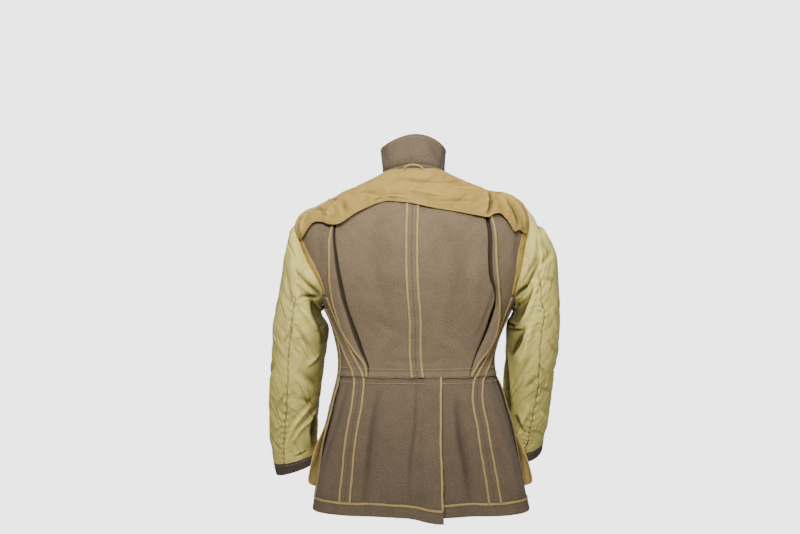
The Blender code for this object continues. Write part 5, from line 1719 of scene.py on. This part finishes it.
# %% Pocket bags
BAG_START, BAG_END = 97.0, 142.0
BAG_TOP, BAG_BOTTOM = -0.505, -0.694
BAG_SWING = {-1: 0.019, 1: 0.021}
BAG_CORNER = 0.022
BAG_OUT = 0.0052
BAG_THICK = 0.0024
BAG_COLUMNS, BAG_ROWS = 46, 48
for side in (-1, 1):
    node = f"pocket_bag_{side_name(side)}"
    angles = side * np.linspace(BAG_START, BAG_END, BAG_COLUMNS)
    drops = np.linspace(0.0, 1.0, BAG_ROWS)[:, None]
    free = 1.0 - (np.abs(angles) - BAG_START) / (BAG_END - BAG_START)
    round_off = 1.0 - np.sqrt(np.clip(1.0 - np.clip((free - 0.70) / 0.30, 0.0, 1.0) ** 2, 0.0, 1.0))
    levels = BAG_TOP + drops * (BAG_BOTTOM + BAG_CORNER * round_off - BAG_TOP)
    slow_wave = 0.0022 * np.sin(angles / 4.6 + 5.0 * drops)
    quick_wave = 0.0011 * np.sin(angles / 1.9 - 9.0 * drops)
    swing = BAG_SWING[side] * ease((drops - 0.10) / 0.75) * free ** 1.6
    outs = BAG_OUT + swing + drops * (slow_wave + quick_wave)
    points = body_skin(np.broadcast_to(angles, levels.shape), levels, outs)
    PIECES[node] = cloth(node, points, "pocket_cotton", BAG_THICK, [node])
    round_edges(PIECES[node], RIM_ROUND)

# %% [markdown]
# ## Horn
# Five buttons of brown horn close the fronts. Horn has soft streaks that run right through it. An image
# would show a seam at the rim, so noise on the piece's own coordinates colours it, with a thin polish.

# %% Button horn
BUTTON_LEVELS = (-0.138, -0.205, -0.272, -0.339, -0.406)
BUTTON_GAP = 0.0007
BUTTON_PROFILE = ((0.0, 0.0), (0.0070, 0.0002), (0.0096, 0.0012), (0.0105, 0.0027), (0.0101, 0.0040),
                  (0.0090, 0.0044), (0.0078, 0.0038), (0.0066, 0.0029), (0.0040, 0.0026), (0.0, 0.0026))
BUTTON_SEGMENTS = 40


def horn_material():
    """Polished brown horn with soft streaks, on the piece's own coordinates."""
    made = bpy.data.materials.new("button_horn")
    made.use_nodes = True
    tree = made.node_tree
    shader = tree.nodes["Principled BSDF"]
    shader.inputs["Roughness"].default_value = 0.32
    shader.inputs["Coat Weight"].default_value = 0.25
    place_node = tree.nodes.new("ShaderNodeTexCoord")
    streaks = tree.nodes.new("ShaderNodeTexNoise")
    streaks.inputs["Scale"].default_value = 260.0
    streaks.inputs["Detail"].default_value = 3.0
    link(tree, place_node, "Object", streaks, "Vector")
    ramp = tree.nodes.new("ShaderNodeValToRGB")
    ramp.color_ramp.elements[0].color = (0.030, 0.017, 0.009, 1.0)
    ramp.color_ramp.elements[1].color = (0.115, 0.064, 0.030, 1.0)
    link(tree, streaks, "Fac", ramp, "Fac")
    link(tree, ramp, "Color", shader, "Base Color")
    return made


MATERIALS["button_horn"] = horn_material()
print("button width:", 2 * max(radius for radius, _ in BUTTON_PROFILE))

# %% [markdown]
# ## Buttons and their threads
# The jacket is inside out, so the buttons sit on the inner face, and only the crossed threads that hold
# them come through to the outside. A flat cylinder with a bevel could stand for a button. The real one is
# turned on a lathe, so a profile spun round its axis makes it, with a raised rim and a dished face.

# %% Buttons and their threads
def button(number, level):
    """A button inside the closed fronts, its back to the wool."""
    spun = bmesh.new()
    profile = [spun.verts.new((radius, 0.0, height)) for radius, height in BUTTON_PROFILE]
    edges = [spun.edges.new(pair) for pair in zip(profile, profile[1:])]
    bmesh.ops.spin(spun, geom=profile + edges, cent=(0, 0, 0), axis=(0, 0, 1), angle=2 * math.pi,
                   steps=BUTTON_SEGMENTS, use_merge=True)
    bmesh.ops.remove_doubles(spun, verts=spun.verts, dist=1e-6)
    bmesh.ops.recalc_face_normals(spun, faces=spun.faces)
    at, _, normals = follow(body_skin, np.full(3, CENTRE_FRONT), level + np.array([0.001, 0.0, -0.001]),
                            -WOOL - BUTTON_GAP)
    sideways = np.array([1.0, 0.0, 0.0])
    upward = np.cross(-normals[1], sideways)
    for vert in spun.verts:
        vert.co = at[1] + vert.co.x * sideways + vert.co.y * upward - vert.co.z * normals[1]
    data = bpy.data.meshes.new(f"button_{number}_horn")
    spun.to_mesh(data)
    spun.free()
    data.shade_smooth()
    place(data, "button_horn", [f"button_{number}"])


def thread_cross(number, level):
    """Two short threads that cross where a button is sewn through to the outside."""
    reach = np.linspace(-1.0, 1.0, 9)
    rise = 0.0006 * (1 - reach ** 2)
    for mark, (turn, drop) in enumerate(((0.55, 0.0016), (0.55, -0.0016)), start=1):
        path = follow(body_skin, CENTRE_FRONT - turn * reach, level + drop * reach, LAYER + rise - 0.0004)
        data = tube(f"button_thread_{number}_{mark}", path, 0.0010, 0.0010, 8, 0.9)
        place(data, "thread")


for number, level in enumerate(BUTTON_LEVELS, start=1):
    button(number, level)
    thread_cross(number, level)
print("buttons:", len(BUTTON_LEVELS))

# %% [markdown]
# ## Floor and backdrop
# A pale floor and a pale world keep the picture plain. A white wall behind the jacket would be in the way
# from other sides. So the world is bright where the wall would be, glows like a ceiling above and is dim
# elsewhere, which lets the lamps model the folds. The camera sees it pale all round.

# %% Floor and world
FLOOR_LEVEL = -1.55
FLOOR_RADIUS = 2.8
WORLD_DIM, WORLD_WALL, WORLD_CEILING, WORLD_SEEN = 0.11, 1.6, 1.8, 3.5
disc = bmesh.new()
bmesh.ops.create_circle(disc, cap_ends=True, segments=96, radius=FLOOR_RADIUS)
bmesh.ops.translate(disc, verts=disc.verts, vec=(0.0, 0.0, FLOOR_LEVEL))
floor_data = bpy.data.meshes.new("studio_floor")
disc.to_mesh(floor_data)
disc.free()
paint = bpy.data.materials.new("floor_paint")
paint.use_nodes = True
paint.node_tree.nodes["Principled BSDF"].inputs["Base Color"].default_value = (0.80, 0.80, 0.79, 1.0)
paint.node_tree.nodes["Principled BSDF"].inputs["Roughness"].default_value = 0.9
floor_data.materials.append(paint)
floor = bpy.data.objects.new("studio_floor", floor_data)
bpy.context.scene.collection.objects.link(floor)

world = bpy.data.worlds.new("pale_studio")
world.use_nodes = True
sky = world.node_tree
direction = sky.nodes.new("ShaderNodeTexCoord")
parts = sky.nodes.new("ShaderNodeSeparateXYZ")
link(sky, direction, "Generated", parts, "Vector")
glow = to_range(sky, parts, "Y", WORLD_DIM, WORLD_WALL, 0.76, 0.90)
sky.nodes["Background"].inputs["Color"].default_value = (0.98, 0.98, 1.0, 1.0)
ceiling = to_range(sky, parts, "Z", 0.0, WORLD_CEILING, 0.70, 0.95)
seen = to_range(sky, sky.nodes.new("ShaderNodeLightPath"), "Is Camera Ray", 0.0, WORLD_SEEN, 0.0, 1.0)
strength = (glow, "Result")
for other in (ceiling, seen):
    brighter = sky.nodes.new("ShaderNodeMath")
    brighter.operation = "MAXIMUM"
    link(sky, *strength, brighter, 0)
    link(sky, other, "Result", brighter, 1)
    strength = (brighter, "Value")
link(sky, *strength, sky.nodes["Background"], "Strength")
bpy.context.scene.world = world
print("floor at:", FLOOR_LEVEL)

# %% [markdown]
# ## Lights and camera
# Three soft lamps stand on the camera's side at head height and above, which leaves the skirt a little
# darker than the shoulders, and one lights the front. A sun would be quicker to set, but its shadows are
# harder than a studio's. The camera stands level behind the jacket.

# %% Lights and camera
Lamp = namedtuple("Lamp", "name place aim size power")
LAMPS = [
    Lamp("key", (-0.42, -1.80, 1.05), (0.0, 0.0, 0.06), 0.45, 11.6),
    Lamp("fill", (0.40, -2.00, 0.50), (0.0, 0.0, 0.05), 0.5, 5.2),
    Lamp("top", (0.10, -0.70, 1.35), (0.0, 0.0, -0.05), 0.6, 1.5),
    Lamp("front", (-0.55, 1.95, 0.60), (0.0, 0.0, -0.30), 0.7, 8.0),
]
LAMP_SPREAD = math.radians(80)
CAMERA_PLACE = (-0.0276, -2.45, -0.2007)


def aimed(thing, place_at, aim):
    thing.location = place_at
    thing.rotation_euler = (Vector(aim) - Vector(place_at)).to_track_quat("-Z", "Y").to_euler()
    bpy.context.scene.collection.objects.link(thing)


for lamp in LAMPS:
    data = bpy.data.lights.new(lamp.name, "AREA")
    data.shape = "DISK"
    data.size = lamp.size
    data.energy = lamp.power
    data.spread = LAMP_SPREAD
    aimed(bpy.data.objects.new(lamp.name, data), lamp.place, lamp.aim)

camera_data = bpy.data.cameras.new("camera")
camera_data.sensor_width = 36.0
camera_data.lens = 50.0
camera_data.dof.use_dof = False
camera = bpy.data.objects.new("camera", camera_data)
aimed(camera, CAMERA_PLACE, (CAMERA_PLACE[0], 0.0, CAMERA_PLACE[2]))
bpy.context.scene.camera = camera
print("camera distance:", -CAMERA_PLACE[1])
